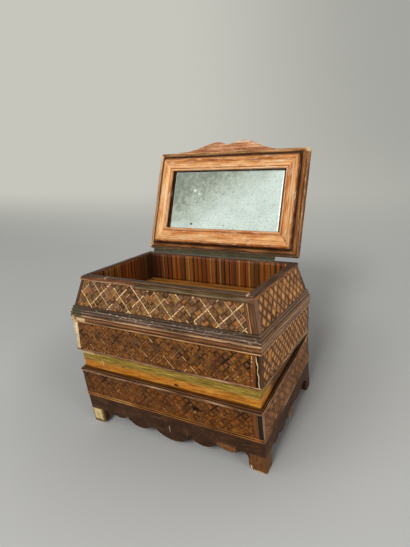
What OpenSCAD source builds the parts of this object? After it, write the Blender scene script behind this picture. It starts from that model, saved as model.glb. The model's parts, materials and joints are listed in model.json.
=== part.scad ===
// Jewellery casket in straw marquetry. A scalloped base carries a case that lifts on hinges behind,
// and a lid with a framed mirror opens from the case's rim. Front towards -Y, millimetres.

/* [Overall] */
// Width across the waist moulding
case_w = 200; // [185:1:220]
// Depth across the waist moulding
case_d = 134; // [128:1:150]
// How far the front of the case stands raised from the base, in degrees
case_raise = 9; // [8.5:0.5:12]
// How far the lid stands open from the rim, in degrees
lid_open = 110; // [95:1:115]

/* [Base] */
// Height of the base above the table
base_top = 67; // [64:1:75]
// Height of the joint between the base walls and the aprons
apron_top = 35; // [32:1:37]
// Width of the bracket feet, seen from the front
foot_w = 16.5; // [14:0.5:20]
// Height of the cusps between the apron's scallops
cusp_h = 18.5; // [17:0.5:20]
// Thickness of the apron boards
apron_t = 5; // [4:0.5:6]
// Height of the lip boards that stand above the base
lip_rise = 19; // [15:0.5:19]

/* [Case] */
// Height of the upright walls of the case
upright_h = 37; // [34:1:42]
// Height of the canted walls, from the waist to the rim
cant_h = 38; // [34:1:42]
// How far the canted walls lean in by the rim
cant_in = 10.1; // [8:0.1:12]
// Depth of the jewel well below the rim
well_deep = 30; // [26:1:30]

/* [Lid] */
// Width of the mirror frame's side rails
side_rail_w = 13.5; // [12:0.5:16]
// Width of the mirror frame's upper rail
top_rail_w = 14.8; // [12:0.2:16]
// Width of the mirror frame's lower rail, next to the hinges
low_rail_w = 17.2; // [14:0.2:18]
// Height of the crest above the lid's edge
crest_h = 11.4; // [8:0.2:13]

/* [Hidden] */
$fn = 48;
eps = 0.01;

// Half sizes at the waist, from which every side is offset inwards.
half_w = case_w / 2;
half_d = case_d / 2;
mid_in = 1.4;
base_in = 1.5;
apron_in = 2.2;

// Heights of the closed casket.
joint_gap = 1;
case_z = base_top + joint_gap;
waist_z = case_z + upright_h;
rim_z = waist_z + cant_h;
rim_in = mid_in + cant_in;

// Board thicknesses.
base_side_t = 3;
base_front_t = 5;
floor_t = 3;
lip_t = 2.5;
mid_t = 2.6;
cant_t = 3.8;
lining_t = 1.6;
rim_cap_t = 1;
rim_wall_t = 5.6;
bead_r = 1;
skirt_out = 4;

// Hinges: axes as [y, z] of the closed casket.
knuckle_r = 1.5;
pin_r = 0.6;
bore_r = 0.65;
knuckle_w = 5;
knuckle_gap = 0.3;
leaf_t = 0.8;
case_axis = [half_d - mid_in + 2.5, base_top + joint_gap / 2];
lid_hd = half_d - rim_in + 0.5;
lid_hw = half_w - rim_in + 1;
lid_axis = [lid_hd + 2, rim_z + 1.8];
case_hinge_x = 58;
lid_hinge_x = 52;

// Lid heights, closed: the edging rests half a millimetre above the rim.
lid_z = rim_z + 0.5;
board_z = lid_z + 0.8;
board_t = 4.2;
edging_w = 3.5;
edging_h = 5;
rail_drop = 6.8;
crest_left = -65;
crest_right = 52;
low_hump = -16;
high_hump = 15.4;
let_in = 0.5;
frame_hw = lid_hw - 8;
frame_hd = lid_hd - 7.2;
glass_w = 130.5 - (200 - case_w);
glass_d = 64.4 - (134 - case_d);
glass_y = (low_rail_w - top_rail_w) / -2;
glass_t = 1.8;

// Apron scallops, cut by eye, as places along the side, half widths and drops below the cusps.
front_lobes = [[-61, 11, 4.5], [-35, 15.5, 9.5], [2.5, 23, 13], [36.5, 14.5, 8], [62.5, 12, 5]];
side_lobes = [[-39, 7.5, 3.5], [-21, 11, 5.5], [2, 12.5, 9], [25, 11, 4]];

// Place of the whole casket, so that the origin lies under the middle of its bounding box.
function swung(p, axis, turn) = [
    axis.x + (p.x - axis.x) * cos(turn) + (p.y - axis.y) * sin(turn),
    axis.y - (p.x - axis.x) * sin(turn) + (p.y - axis.y) * cos(turn)
];
function at_rest(p) = swung(swung(p, lid_axis, lid_open), case_axis, case_raise);
lid_back = at_rest([-lid_hd - crest_h, lid_z + edging_h - 0.5]).x;
lid_corner = at_rest([-lid_hd, lid_z + edging_h]).x;
middle_y = (max(lid_back, lid_corner) - (half_d - base_in + bead_r)) / 2;

// Colours of the straw, the bare wood and the metal.
straw_brown = [0.36, 0.25, 0.16];
straw_dark = [0.24, 0.15, 0.12];
straw_gold = [0.78, 0.5, 0.24];
straw_ochre = [0.68, 0.48, 0.2];
straw_pale = [0.85, 0.72, 0.5];
straw_red = [0.5, 0.24, 0.12];
aubergine = [0.22, 0.14, 0.14];
bare_wood = [0.72, 0.56, 0.36];
cloth_olive = [0.3, 0.3, 0.19];
hinge_brass = [0.62, 0.5, 0.28];
mirror_grey = [0.72, 0.77, 0.74];

// Turn of each side about Z, and its distance from the middle and half length.
function side_turn(side) = side == "right" ? 0 : side == "back" ? 90 : side == "left" ? 180 : 270;
function is_end(side) = side == "right" || side == "left";
function near_of(side, hw, hd) = is_end(side) ? hw : hd;
function far_of(side, hw, hd) = is_end(side) ? hd : hw;

// Offset of the canted wall's outer face at height z.
function cant_out(z) = -mid_in - cant_in * (z - waist_z) / cant_h;

// Radius of an arc from its half width and its rise.
function arc_r(half, rise) = (half * half + rise * rise) / (2 * rise);

module at_origin() {
    translate([0, -middle_y, 0]) children();
}

module raised_case() {
    at_origin()
    translate([0, case_axis.x, case_axis.y])
    rotate([-case_raise, 0, 0])
    translate([0, -case_axis.x, -case_axis.y])
    children();
}

module opened_lid() {
    raised_case()
    translate([0, lid_axis.x, lid_axis.y])
    rotate([-lid_open, 0, 0])
    translate([0, -lid_axis.x, -lid_axis.y])
    children();
}

// Keeps what lies between the mitres of one side of a rectangle.
module mitre_wedge(near, far, deep) {
    linear_extrude(200)
    polygon([
        [near + skirt_out, -far - skirt_out], [near + skirt_out, far + skirt_out],
        [near - deep, far - deep], [near - deep, -far + deep]
    ]);
}

// Runs a section along one side, mitred at both ends. The section's X is the offset outwards
// from the half sizes hw and hd, and its Y is the height.
module mitred_run(side, hw = half_w, hd = half_d, deep = 30) {
    near = near_of(side, hw, hd);
    far = far_of(side, hw, hd);
    rotate(side_turn(side))
    intersection() {
        translate([near, 0, 0])
        rotate([90, 0, 0])
        linear_extrude(2 * (far + skirt_out), center = true)
        children();
        mitre_wedge(near, far, deep);
    }
}

module board_section(outer, inner, low, high) {
    translate([inner, low]) square([outer - inner, high - low]);
}

// A half-round bead on the outside of a face at the given offset.
module bead_section(face, z, r) {
    intersection() {
        translate([face, z]) circle(r);
        translate([face, z - r]) square([r, 2 * r]);
    }
}

// Base

module base_floor() {
    hw = half_w - base_in - base_side_t;
    hd = half_d - base_in - base_front_t;
    color(bare_wood)
    at_origin()
    translate([-hw, -hd, apron_top])
    cube([2 * hw, 2 * hd, floor_t]);
}

module base_wall(side) {
    t = is_end(side) ? base_side_t : base_front_t;
    near = near_of(side, half_w, half_d) - base_in;
    far = far_of(side, half_w, half_d) - base_in;
    other_t = is_end(side) ? base_front_t : base_side_t;
    color(straw_brown)
    at_origin()
    rotate(side_turn(side))
    translate([0, 0, apron_top])
    linear_extrude(base_top - apron_top)
    polygon([[near, -far], [near, far], [near - t, far - other_t], [near - t, -far + other_t]]);
}

module base_top_bead() {
    color(straw_pale)
    at_origin()
    difference() {
        for (side = ["right", "back", "left", "front"])
            mitred_run(side) bead_section(-base_in, base_top - bead_r, bead_r);
        hinge_gains(case_hinge_x, half_d - base_in, base_top - 2 * bead_r - 1, base_top + 1);
    }
}

module base_stringing() {
    line_r = 0.6;
    color(straw_ochre)
    at_origin()
    for (side = ["right", "back", "left", "front"], z = [apron_top + 1, apron_top + 3.4])
        mitred_run(side) bead_section(-base_in, z, line_r);
}

module scallop(x, half, drop) {
    r = arc_r(half, drop);
    translate([x, cusp_h])
    intersection() {
        translate([0, r - drop]) circle(r, $fn = 96);
        translate([-half, -drop]) square([2 * half, drop + 1]);
    }
}

// Outline of a bracket foot at the positive end, with a hollow curve up to the scallops.
module bracket_foot(far, w, toe_r, hollow_r) {
    translate([far - w, toe_r]) square([w, apron_top - toe_r]);
    translate([far - w + toe_r, 0]) square([w - toe_r, apron_top]);
    translate([far - w + toe_r, toe_r]) circle(toe_r);
    difference() {
        translate([far - w - hollow_r, cusp_h - hollow_r]) square([hollow_r + eps, hollow_r + eps]);
        translate([far - w - hollow_r, cusp_h - hollow_r]) circle(hollow_r);
    }
}

module apron_outline(far, lobes, foot, toe_r, hollow_r) {
    translate([-far, cusp_h]) square([2 * far, apron_top - cusp_h]);
    for (l = lobes)
        scallop(l[0], l[1], l[2]);
    for (end = [0, 1])
        mirror([end, 0]) bracket_foot(far, foot, toe_r, hollow_r);
}

// The left and back aprons are cut to the right and front ones turned over.
module apron(side) {
    near = near_of(side, half_w, half_d) - apron_in;
    far = far_of(side, half_w, half_d) - apron_in;
    turned = side == "left" || side == "back" ? 1 : 0;
    color(aubergine)
    at_origin()
    rotate(side_turn(side))
    intersection() {
        translate([near - apron_t, 0, 0])
        rotate([90, 0, 90])
        linear_extrude(apron_t)
        mirror([turned, 0])
        if (is_end(side))
            apron_outline(far, side_lobes, 12, 4, 6);
        else
            apron_outline(far, front_lobes, foot_w, 6, 5);
        mitre_wedge(near, far, 10);
    }
}

// Glue block behind a corner of the aprons, just clear of the table.
module foot_block(x_side, y_side) {
    block = 9;
    x = half_w - apron_in - apron_t - block;
    y = half_d - apron_in - apron_t - block;
    color(bare_wood)
    at_origin()
    mirror([x_side < 0 ? 1 : 0, 0, 0])
    mirror([0, y_side < 0 ? 1 : 0, 0])
    translate([x, y, 2])
    linear_extrude(apron_top - 2)
    polygon([[0, block], [0, 2], [2, 0], [block, 0], [block, block]]);
}

module lip(side) {
    hw = half_w - base_in - base_side_t;
    hd = half_d - base_in - base_front_t;
    color(straw_ochre)
    at_origin()
    mitred_run(side, hw, hd, 10)
    difference() {
        board_section(0, -lip_t, apron_top + floor_t, base_top + lip_rise);
        translate([0.2, base_top + lip_rise]) rotate(45) square(1, center = true);
    }
}

// Hinges. Leaf plates are drawn as children in the place of the closed casket.

module at_hinges(x) {
    for (end = [-1, 1])
        translate([end * x, 0, 0]) children();
}

module hinge_gains(x, face, low, high) {
    w = 3 * knuckle_w + 4 * knuckle_gap;
    at_hinges(x)
    translate([-w / 2, face - 1, low])
    cube([w, 5, high - low]);
}

module knuckle_rod(axis, r, x, w) {
    translate([x, axis.x, axis.y])
    rotate([0, 90, 0])
    cylinder(h = w, r = r, center = true);
}

// One leaf: a plate with knuckles at the places in own, clear of those in other.
module hinge_leaf(axis, own, other) {
    step = knuckle_w + knuckle_gap;
    difference() {
        union() {
            children();
            for (place = own) knuckle_rod(axis, knuckle_r, place * step, knuckle_w);
        }
        for (place = other)
            knuckle_rod(axis, knuckle_r + knuckle_gap, place * step, knuckle_w + 2 * knuckle_gap);
        knuckle_rod(axis, bore_r, 0, 4 * knuckle_w);
    }
}

// A plate between two heights behind a flat back, with its web to the barrel.
module leaf_plate(face, low, high, web_low, web_high, axis) {
    w = 3 * knuckle_w + 2 * knuckle_gap;
    translate([-w / 2, face, low]) cube([w, leaf_t, high - low]);
    translate([-w / 2, face, web_low]) cube([w, axis.x - face, web_high - web_low]);
}

module hinge_pins(axis, x) {
    at_hinges(x) knuckle_rod(axis, pin_r, 0, 3 * knuckle_w + 2 * knuckle_gap);
}

module case_hinge_base_leaves() {
    face = half_d - base_in;
    color(hinge_brass)
    at_origin()
    at_hinges(case_hinge_x)
    hinge_leaf(case_axis, [-1, 1], [0])
    leaf_plate(face, base_top - 9, base_top, case_axis.y - 1.4, case_axis.y - 0.3, case_axis);
}

module case_hinge_pins() {
    color(hinge_brass) at_origin() hinge_pins(case_axis, case_hinge_x);
}

module case_hinge_case_leaves() {
    face = half_d - mid_in;
    color(hinge_brass)
    raised_case()
    at_hinges(case_hinge_x)
    hinge_leaf(case_axis, [0], [-1, 1])
    leaf_plate(face, case_z, case_z + 9, case_axis.y + 0.3, case_axis.y + 1.4, case_axis);
}

// The leaf on the case lies on the canted rim edging behind, with a short web up to its barrel.
module lid_hinge_case_leaves() {
    lean = atan(cant_in / cant_h);
    up = [-sin(lean), cos(lean)];
    foot = [half_d - rim_in + 0.8, rim_z] - 5.8 * up;
    toe = foot + leaf_t * [cos(lean), sin(lean)];
    low = lid_axis.y - 1.2;
    high = lid_axis.y - 0.75;
    color(hinge_brass)
    raised_case()
    at_hinges(lid_hinge_x)
    hinge_leaf(lid_axis, [-1, 1], [0])
    rotate([90, 0, 90])
    linear_extrude(3 * knuckle_w, center = true)
    polygon([
        foot, toe, toe + (low - toe.y) / up.y * up, [lid_axis.x, low], [lid_axis.x, high],
        [lid_axis.x - 1.5, high], foot + 6.2 * up
    ]);
}

module lid_hinge_pins() {
    color(hinge_brass) raised_case() hinge_pins(lid_axis, lid_hinge_x);
}

module lid_hinge_lid_leaves() {
    face = lid_hd - let_in;
    top = lid_z + edging_h - 0.4;
    color(hinge_brass)
    opened_lid()
    at_hinges(lid_hinge_x)
    hinge_leaf(lid_axis, [0], [-1, 1])
    leaf_plate(face, lid_z + 1, top, lid_axis.y - 0.2, lid_axis.y + 1, lid_axis);
}

// Case

module case_wall(side) {
    color(straw_brown)
    raised_case()
    mitred_run(side)
    board_section(-mid_in, -mid_in - mid_t, case_z, waist_z);
}

module case_bottom_bead() {
    color(straw_pale)
    raised_case()
    difference() {
        for (side = ["right", "back", "left", "front"])
            mitred_run(side) bead_section(-mid_in, case_z + bead_r, bead_r);
        hinge_gains(case_hinge_x, half_d - mid_in, case_z - 1, case_z + 2 * bead_r + 1);
    }
}

module cant_wall(side) {
    top = rim_z - rim_cap_t;
    color(straw_brown)
    raised_case()
    mitred_run(side)
    polygon([
        [cant_out(waist_z), waist_z], [cant_out(top), top],
        [cant_out(top) - cant_t, top], [cant_out(waist_z) - cant_t, waist_z]
    ]);
}

// Section of the reeded waist: reeds of falling size up the cant, an arris reed at the widest line,
// a flat band below it and a small bead at the foot.
module waist_section() {
    low = waist_z - 7;
    high = waist_z + 9.6;
    thin = 0.5;
    intersection() {
        union() {
            for (reed = [[2.7, 1.5], [5.6, 1.4], [8.2, 1.2]])
                translate([cant_out(waist_z + reed[0]), waist_z + reed[0]]) circle(reed[1]);
            translate([-1.6, waist_z - 0.3]) circle(1.6);
            translate([-mid_in, waist_z - 4.6]) square([0.9, 4]);
            bead_section(-mid_in, low + bead_r, bead_r);
            polygon([
                [-mid_in, low + 1], [-mid_in + thin, low + 1], [-mid_in + thin, waist_z],
                [cant_out(high) + thin, high - 0.6], [cant_out(high), high - 0.6],
                [-mid_in, waist_z]
            ]);
        }
        polygon([
            [-mid_in, low], [2, low], [2, high], [cant_out(high), high], [-mid_in, waist_z]
        ]);
    }
}

module waist_moulding(side) {
    color(straw_dark)
    raised_case()
    mitred_run(side)
    waist_section();
}

module well_floor() {
    low = rim_z - well_deep - floor_t;
    hw = half_w + cant_out(low + floor_t) - cant_t - 0.1;
    hd = half_d + cant_out(low + floor_t) - cant_t - 0.1;
    color(straw_gold)
    raised_case()
    translate([-hw, -hd, low])
    cube([2 * hw, 2 * hd, floor_t]);
}

module well_lining(side) {
    hw = half_w - rim_in - rim_wall_t + lining_t;
    hd = half_d - rim_in - rim_wall_t + lining_t;
    color(straw_red)
    raised_case()
    mitred_run(side, hw, hd, 10)
    board_section(0, -lining_t, rim_z - well_deep, rim_z - rim_cap_t);
}

// Section of the edging that caps the rim and laps over the canted wall.
module rim_edging_section() {
    lap = 6.6;
    low = rim_z - lap;
    proud = 0.8;
    top = rim_z - rim_cap_t;
    polygon([
        [cant_out(low), low], [cant_out(low + 0.5) + proud, low + 0.5],
        [cant_out(rim_z - 0.5) + proud, rim_z - 0.5], [-rim_in + proud - 0.5, rim_z],
        [-rim_in - rim_wall_t, rim_z], [-rim_in - rim_wall_t, top],
        [cant_out(top), top]
    ]);
}

module rim_edging() {
    color(straw_dark)
    raised_case()
    for (side = ["right", "back", "left", "front"])
        mitred_run(side) rim_edging_section();
}

// Cloth strip glued on the back rim. It stands up to the open lid, which it stops.
module lid_hinge_strip() {
    cloth = 0.4;
    inner = half_d - rim_in - rim_wall_t + 0.2;
    outer = half_d - rim_in - 0.2;
    edge = swung([lid_hd, lid_z], lid_axis, lid_open);
    left = -half_w + rim_in + rim_wall_t;
    right = 66;
    color(cloth_olive)
    raised_case()
    translate([left, 0, 0])
    rotate([90, 0, 90])
    linear_extrude(right - left)
    polygon([
        [inner, rim_z], [outer + 0.3, rim_z], [edge.x - 0.6, edge.y - 0.5],
        [edge.x - 1, edge.y - 0.3], [outer - 0.1, rim_z + cloth], [inner, rim_z + cloth]
    ]);
}

// Lid

module lid_board() {
    hw = lid_hw - edging_w;
    hd = lid_hd - edging_w;
    color(straw_brown)
    opened_lid()
    difference() {
        translate([-hw, -hd, board_z]) cube([2 * hw, 2 * hd, board_t]);
        translate([-glass_w / 2 - 0.1, glass_y - glass_d / 2 - 0.1, board_z - 1])
        cube([glass_w + 0.2, glass_d + 0.2, 1 + glass_t]);
    }
}

// Section of the lid's edging, with two reeds along its outer side.
module lid_edging_section() {
    reed_r = edging_h / 4;
    translate([-edging_w, lid_z]) square([edging_w - reed_r, edging_h]);
    for (level = [1, 3])
        translate([-reed_r, lid_z + level * reed_r]) circle(reed_r);
}

// The reeds are cut flat where the crest and the hinge leaves are let in.
module lid_edging(side) {
    color(straw_dark)
    opened_lid()
    difference() {
        mitred_run(side, lid_hw, lid_hd, 10) lid_edging_section();
        if (side == "front")
            translate([crest_left, -lid_hd - 1, lid_z + 0.5])
            cube([crest_right - crest_left, 1 + let_in, edging_h - 1]);
        if (side == "back")
            hinge_gains(lid_hinge_x, lid_hd - let_in + 1, lid_z - 1, lid_z + edging_h + 1);
    }
}

// Height of the crest at x: a long ogee, two humps with a notch between them, and a short ogee.
function eased(s) = s * s * (3 - 2 * s);
function crest_at(x) =
    x < low_hump ? 0.93 * eased(pow((x - crest_left) / (low_hump - crest_left), 1.3)) :
    x < -4 ? 0.93 - 0.39 * pow((x - low_hump) / 12, 2) :
    x < high_hump ? 1 - 0.46 * pow((high_hump - x) / 19.4, 2) :
    eased((crest_right - x) / (crest_right - high_hump));

module lid_crest() {
    least = 0.8;
    color(straw_gold)
    opened_lid()
    translate([0, -lid_hd, lid_z + 0.5])
    mirror([0, 1, 0])
    linear_extrude(edging_h - 1)
    polygon(concat(
        [[crest_right, -let_in], [crest_left, -let_in]],
        [for (x = [crest_left : 3 : crest_right]) [x, least + (crest_h - least) * crest_at(x)]]
    ));
}

// Section of a mirror rail: a bold bead at the outer edge, a slope with lengthwise straw
// and a small bead at the sight edge. Heights run down from the board.
module rail_section(w) {
    bead = 2.9;
    lip_bead = 1.2;
    translate([0, board_z]) {
        polygon([
            [0, 0], [-w, 0], [-w, -4], [-w + lip_bead, -4.8], [-4.6, -6], [0, -rail_drop + bead]
        ]);
        translate([-bead, -rail_drop + bead]) circle(bead);
        translate([-w + lip_bead, -4]) circle(lip_bead);
    }
}

// A mirror rail between the mitres from the frame's outer to its sight corners.
module mirror_rail(side, w) {
    near = near_of(side, frame_hw, frame_hd);
    far = far_of(side, frame_hw, frame_hd);
    // Widths of the rails met at the two ends, so that unlike rails share their sight corners.
    start_w = side == "right" ? top_rail_w : side == "left" ? low_rail_w : side_rail_w;
    end_w = side == "right" ? low_rail_w : side == "left" ? top_rail_w : side_rail_w;
    color(straw_gold)
    opened_lid()
    rotate(side_turn(side))
    intersection() {
        translate([near, 0, 0])
        rotate([90, 0, 0])
        linear_extrude(2 * far, center = true)
        rail_section(w);
        linear_extrude(200)
        polygon([[near, -far], [near, far], [near - w, far - end_w], [near - w, -far + start_w]]);
    }
}

module mirror_glass() {
    color(mirror_grey)
    opened_lid()
    translate([-glass_w / 2, glass_y - glass_d / 2, board_z])
    cube([glass_w, glass_d, glass_t]);
}

base_floor();
base_wall("front");  // base_wall_front
base_wall("back");  // base_wall_back
base_wall("left");  // base_wall_left
base_wall("right");  // base_wall_right
base_top_bead();
base_stringing();
apron("front");  // apron_front
apron("back");  // apron_back
apron("left");  // apron_left
apron("right");  // apron_right
foot_block(-1, -1);  // foot_block_front_left
foot_block(1, -1);  // foot_block_front_right
foot_block(-1, 1);  // foot_block_back_left
foot_block(1, 1);  // foot_block_back_right
lip("front");  // lip_front
lip("back");  // lip_back
lip("left");  // lip_left
lip("right");  // lip_right
case_hinge_base_leaves();
case_hinge_pins();
case_hinge_case_leaves();
case_wall("front");  // case_wall_front
case_wall("back");  // case_wall_back
case_wall("left");  // case_wall_left
case_wall("right");  // case_wall_right
case_bottom_bead();
cant_wall("front");  // cant_wall_front
cant_wall("back");  // cant_wall_back
cant_wall("left");  // cant_wall_left
cant_wall("right");  // cant_wall_right
waist_moulding("front");  // waist_moulding_front
waist_moulding("back");  // waist_moulding_back
waist_moulding("left");  // waist_moulding_left
waist_moulding("right");  // waist_moulding_right
well_floor();
well_lining("front");  // well_lining_front
well_lining("back");  // well_lining_back
well_lining("left");  // well_lining_left
well_lining("right");  // well_lining_right
rim_edging();
lid_hinge_case_leaves();
lid_hinge_pins();
lid_hinge_strip();
lid_hinge_lid_leaves();
lid_board();
lid_edging("front");  // lid_edging_front
lid_edging("back");  // lid_edging_back
lid_edging("left");  // lid_edging_left
lid_edging("right");  // lid_edging_right
lid_crest();
mirror_rail("front", top_rail_w);  // mirror_rail_top
mirror_rail("back", low_rail_w);  // mirror_rail_bottom
mirror_rail("left", side_rail_w);  // mirror_rail_left
mirror_rail("right", side_rail_w);  // mirror_rail_right
mirror_glass();
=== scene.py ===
import json
import math

import bmesh
import bpy
from mathutils import Matrix, Vector, noise


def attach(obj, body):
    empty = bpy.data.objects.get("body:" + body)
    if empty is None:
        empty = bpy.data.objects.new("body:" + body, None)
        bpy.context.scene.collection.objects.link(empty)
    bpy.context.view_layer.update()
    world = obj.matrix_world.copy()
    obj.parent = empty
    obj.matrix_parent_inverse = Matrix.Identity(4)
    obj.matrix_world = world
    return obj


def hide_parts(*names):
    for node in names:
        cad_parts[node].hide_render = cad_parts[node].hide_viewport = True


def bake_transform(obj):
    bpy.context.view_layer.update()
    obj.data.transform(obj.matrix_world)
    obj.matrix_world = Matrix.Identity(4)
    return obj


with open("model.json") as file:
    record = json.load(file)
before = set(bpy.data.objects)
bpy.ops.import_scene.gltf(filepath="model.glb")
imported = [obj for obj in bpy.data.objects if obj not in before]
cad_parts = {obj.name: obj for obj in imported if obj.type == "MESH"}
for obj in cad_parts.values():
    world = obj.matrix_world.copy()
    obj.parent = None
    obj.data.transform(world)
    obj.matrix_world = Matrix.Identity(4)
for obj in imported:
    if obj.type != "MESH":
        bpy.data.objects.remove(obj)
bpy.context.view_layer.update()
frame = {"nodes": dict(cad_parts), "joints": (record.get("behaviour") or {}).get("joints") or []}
print("frame loaded")


# Sizes of the closed casket in millimetres, as the CAD has them. Offsets run outwards from the waist.

casket = {
    "halfWidth": 100, "halfDepth": 67,
    "baseOut": -1.5, "baseSideT": 3, "baseFrontT": 5, "apronTop": 35, "baseTop": 67,
    "lipHalfW": 95.5, "lipHalfD": 60.5, "lipFoot": 38, "lipTop": 86, "lipT": 2.5,
    "caseOut": -1.4, "caseFoot": 68, "waist": 105, "rim": 143, "cantIn": 10.1, "wallT": 2.6, "cantT": 3.8,
    "rimIn": 11.5, "rimWallT": 5.6, "liningT": 1.6, "wellFloor": 113,
    "lidHalfW": 89.5, "lidHalfD": 56, "lidFoot": 143.5, "lidBoard": 144.3, "lidEdgeH": 5, "lidEdgeW": 3.5,
    "frameHalfW": 81.5, "frameHalfD": 48.8, "sideRail": 13.5, "topRail": 14.8, "lowRail": 17.2,
    "caseRaise": 9, "lidOpen": 110, "caseHingeY": 68.1,
}
mm = 0.001
cantSlope = casket["cantIn"] / (casket["rim"] - casket["waist"])
axes = {joint["name"]: Vector(joint["pos_m"]) for joint in frame["joints"]}
middleY = casket["caseHingeY"] - axes["case_hinge"].y / mm


def turnAbout(point, degrees):
    turn = Matrix.Rotation(math.radians(degrees), 4, "X")
    return Matrix.Translation(point) @ turn @ Matrix.Translation(-point)


raised = turnAbout(axes["case_hinge"], -casket["caseRaise"])
placeOf = {
    "base": Matrix.Identity(4),
    "case": raised,
    "lid": raised @ turnAbout(raised.inverted() @ axes["lid_hinge"], -casket["lidOpen"]),
}


def place(body, x, y, z):
    # from closed casket millimetres to the frame's metres at rest
    return placeOf[body] @ Vector((x * mm, (y - middleY) * mm, z * mm))


# Camera, fitted to the photograph's corners

cameraLook = {
    "at": (0.2161956, -0.3542096, 0.3140505),
    "right": (0.87555446, 0.46771818, -0.12101276),
    "down": (0.08709814, -0.39919335, -0.91272043),
    "ahead": (-0.47520343, 0.78859646, -0.3902529),
    "focalPixels": 439.375, "longSide": 547, "sensor": 36, "clip": 0.01,
}


def addCamera():
    data = bpy.data.cameras.new("camera")
    data.sensor_width = cameraLook["sensor"]
    data.lens = cameraLook["focalPixels"] * cameraLook["sensor"] / cameraLook["longSide"]
    data.clip_start = cameraLook["clip"]
    camera = bpy.data.objects.new("camera", data)
    bpy.context.scene.collection.objects.link(camera)
    up = -Vector(cameraLook["down"])
    back = -Vector(cameraLook["ahead"])
    rows = [(cameraLook["right"][i], up[i], back[i], cameraLook["at"][i]) for i in range(3)]
    camera.matrix_world = Matrix(rows + [(0, 0, 0, 1)])
    bpy.context.scene.camera = camera


# Shader arithmetic. A tone is an sRGB triple of 0 to 255, and a stop is a place on a ramp and its tone.

def linear(*tone):
    # the linear colour that the shaders take
    out = [v / 255 for v in tone]
    out = [v / 12.92 if v <= 0.04045 else ((v + 0.055) / 1.055) ** 2.4 for v in out]
    return (*out, 1)


def operator(operation, swapped=False):
    def apply(self, other):
        pair = (other, self) if swapped else (self, other)
        return self.maths(operation, *pair)
    return apply


class Wire:
    def __init__(self, finish, socket):
        self.finish = finish
        self.socket = socket

    def maths(self, operation, *values):
        return self.finish.node("Math", {"operation": operation}, dict(enumerate(values)))

    __add__, __radd__ = operator("ADD"), operator("ADD", True)
    __sub__, __rsub__ = operator("SUBTRACT"), operator("SUBTRACT", True)
    __mul__, __rmul__ = operator("MULTIPLY"), operator("MULTIPLY", True)
    __truediv__ = operator("DIVIDE")
    __lt__, __gt__ = operator("LESS_THAN"), operator("GREATER_THAN")
    least, most = operator("MINIMUM"), operator("MAXIMUM")

    def __abs__(self):
        return self.maths("ABSOLUTE", self)

    def floor(self):
        return self.maths("FLOOR", self)

    def fract(self):
        return self.maths("FRACT", self)

    def ramp(self, low, high):
        # smooth step from 0 at low to 1 at high
        if low > high:
            return 1 - self.ramp(high, low)
        settings = {"interpolation_type": "SMOOTHSTEP"}
        return self.finish.node("MapRange", settings, {"Value": self, "From Min": low, "From Max": high})

    def colours(self, stops, steps=False):
        return self.finish.node("ValToRGB", {"stops": stops, "steps": steps}, {"Fac": self})


def spread(*parts):
    # 0.5, moved by how far each wire is from its middle times its share
    tone = 0.5
    for wire, share in parts:
        tone = tone + (wire - 0.5) * share
    return tone


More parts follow.
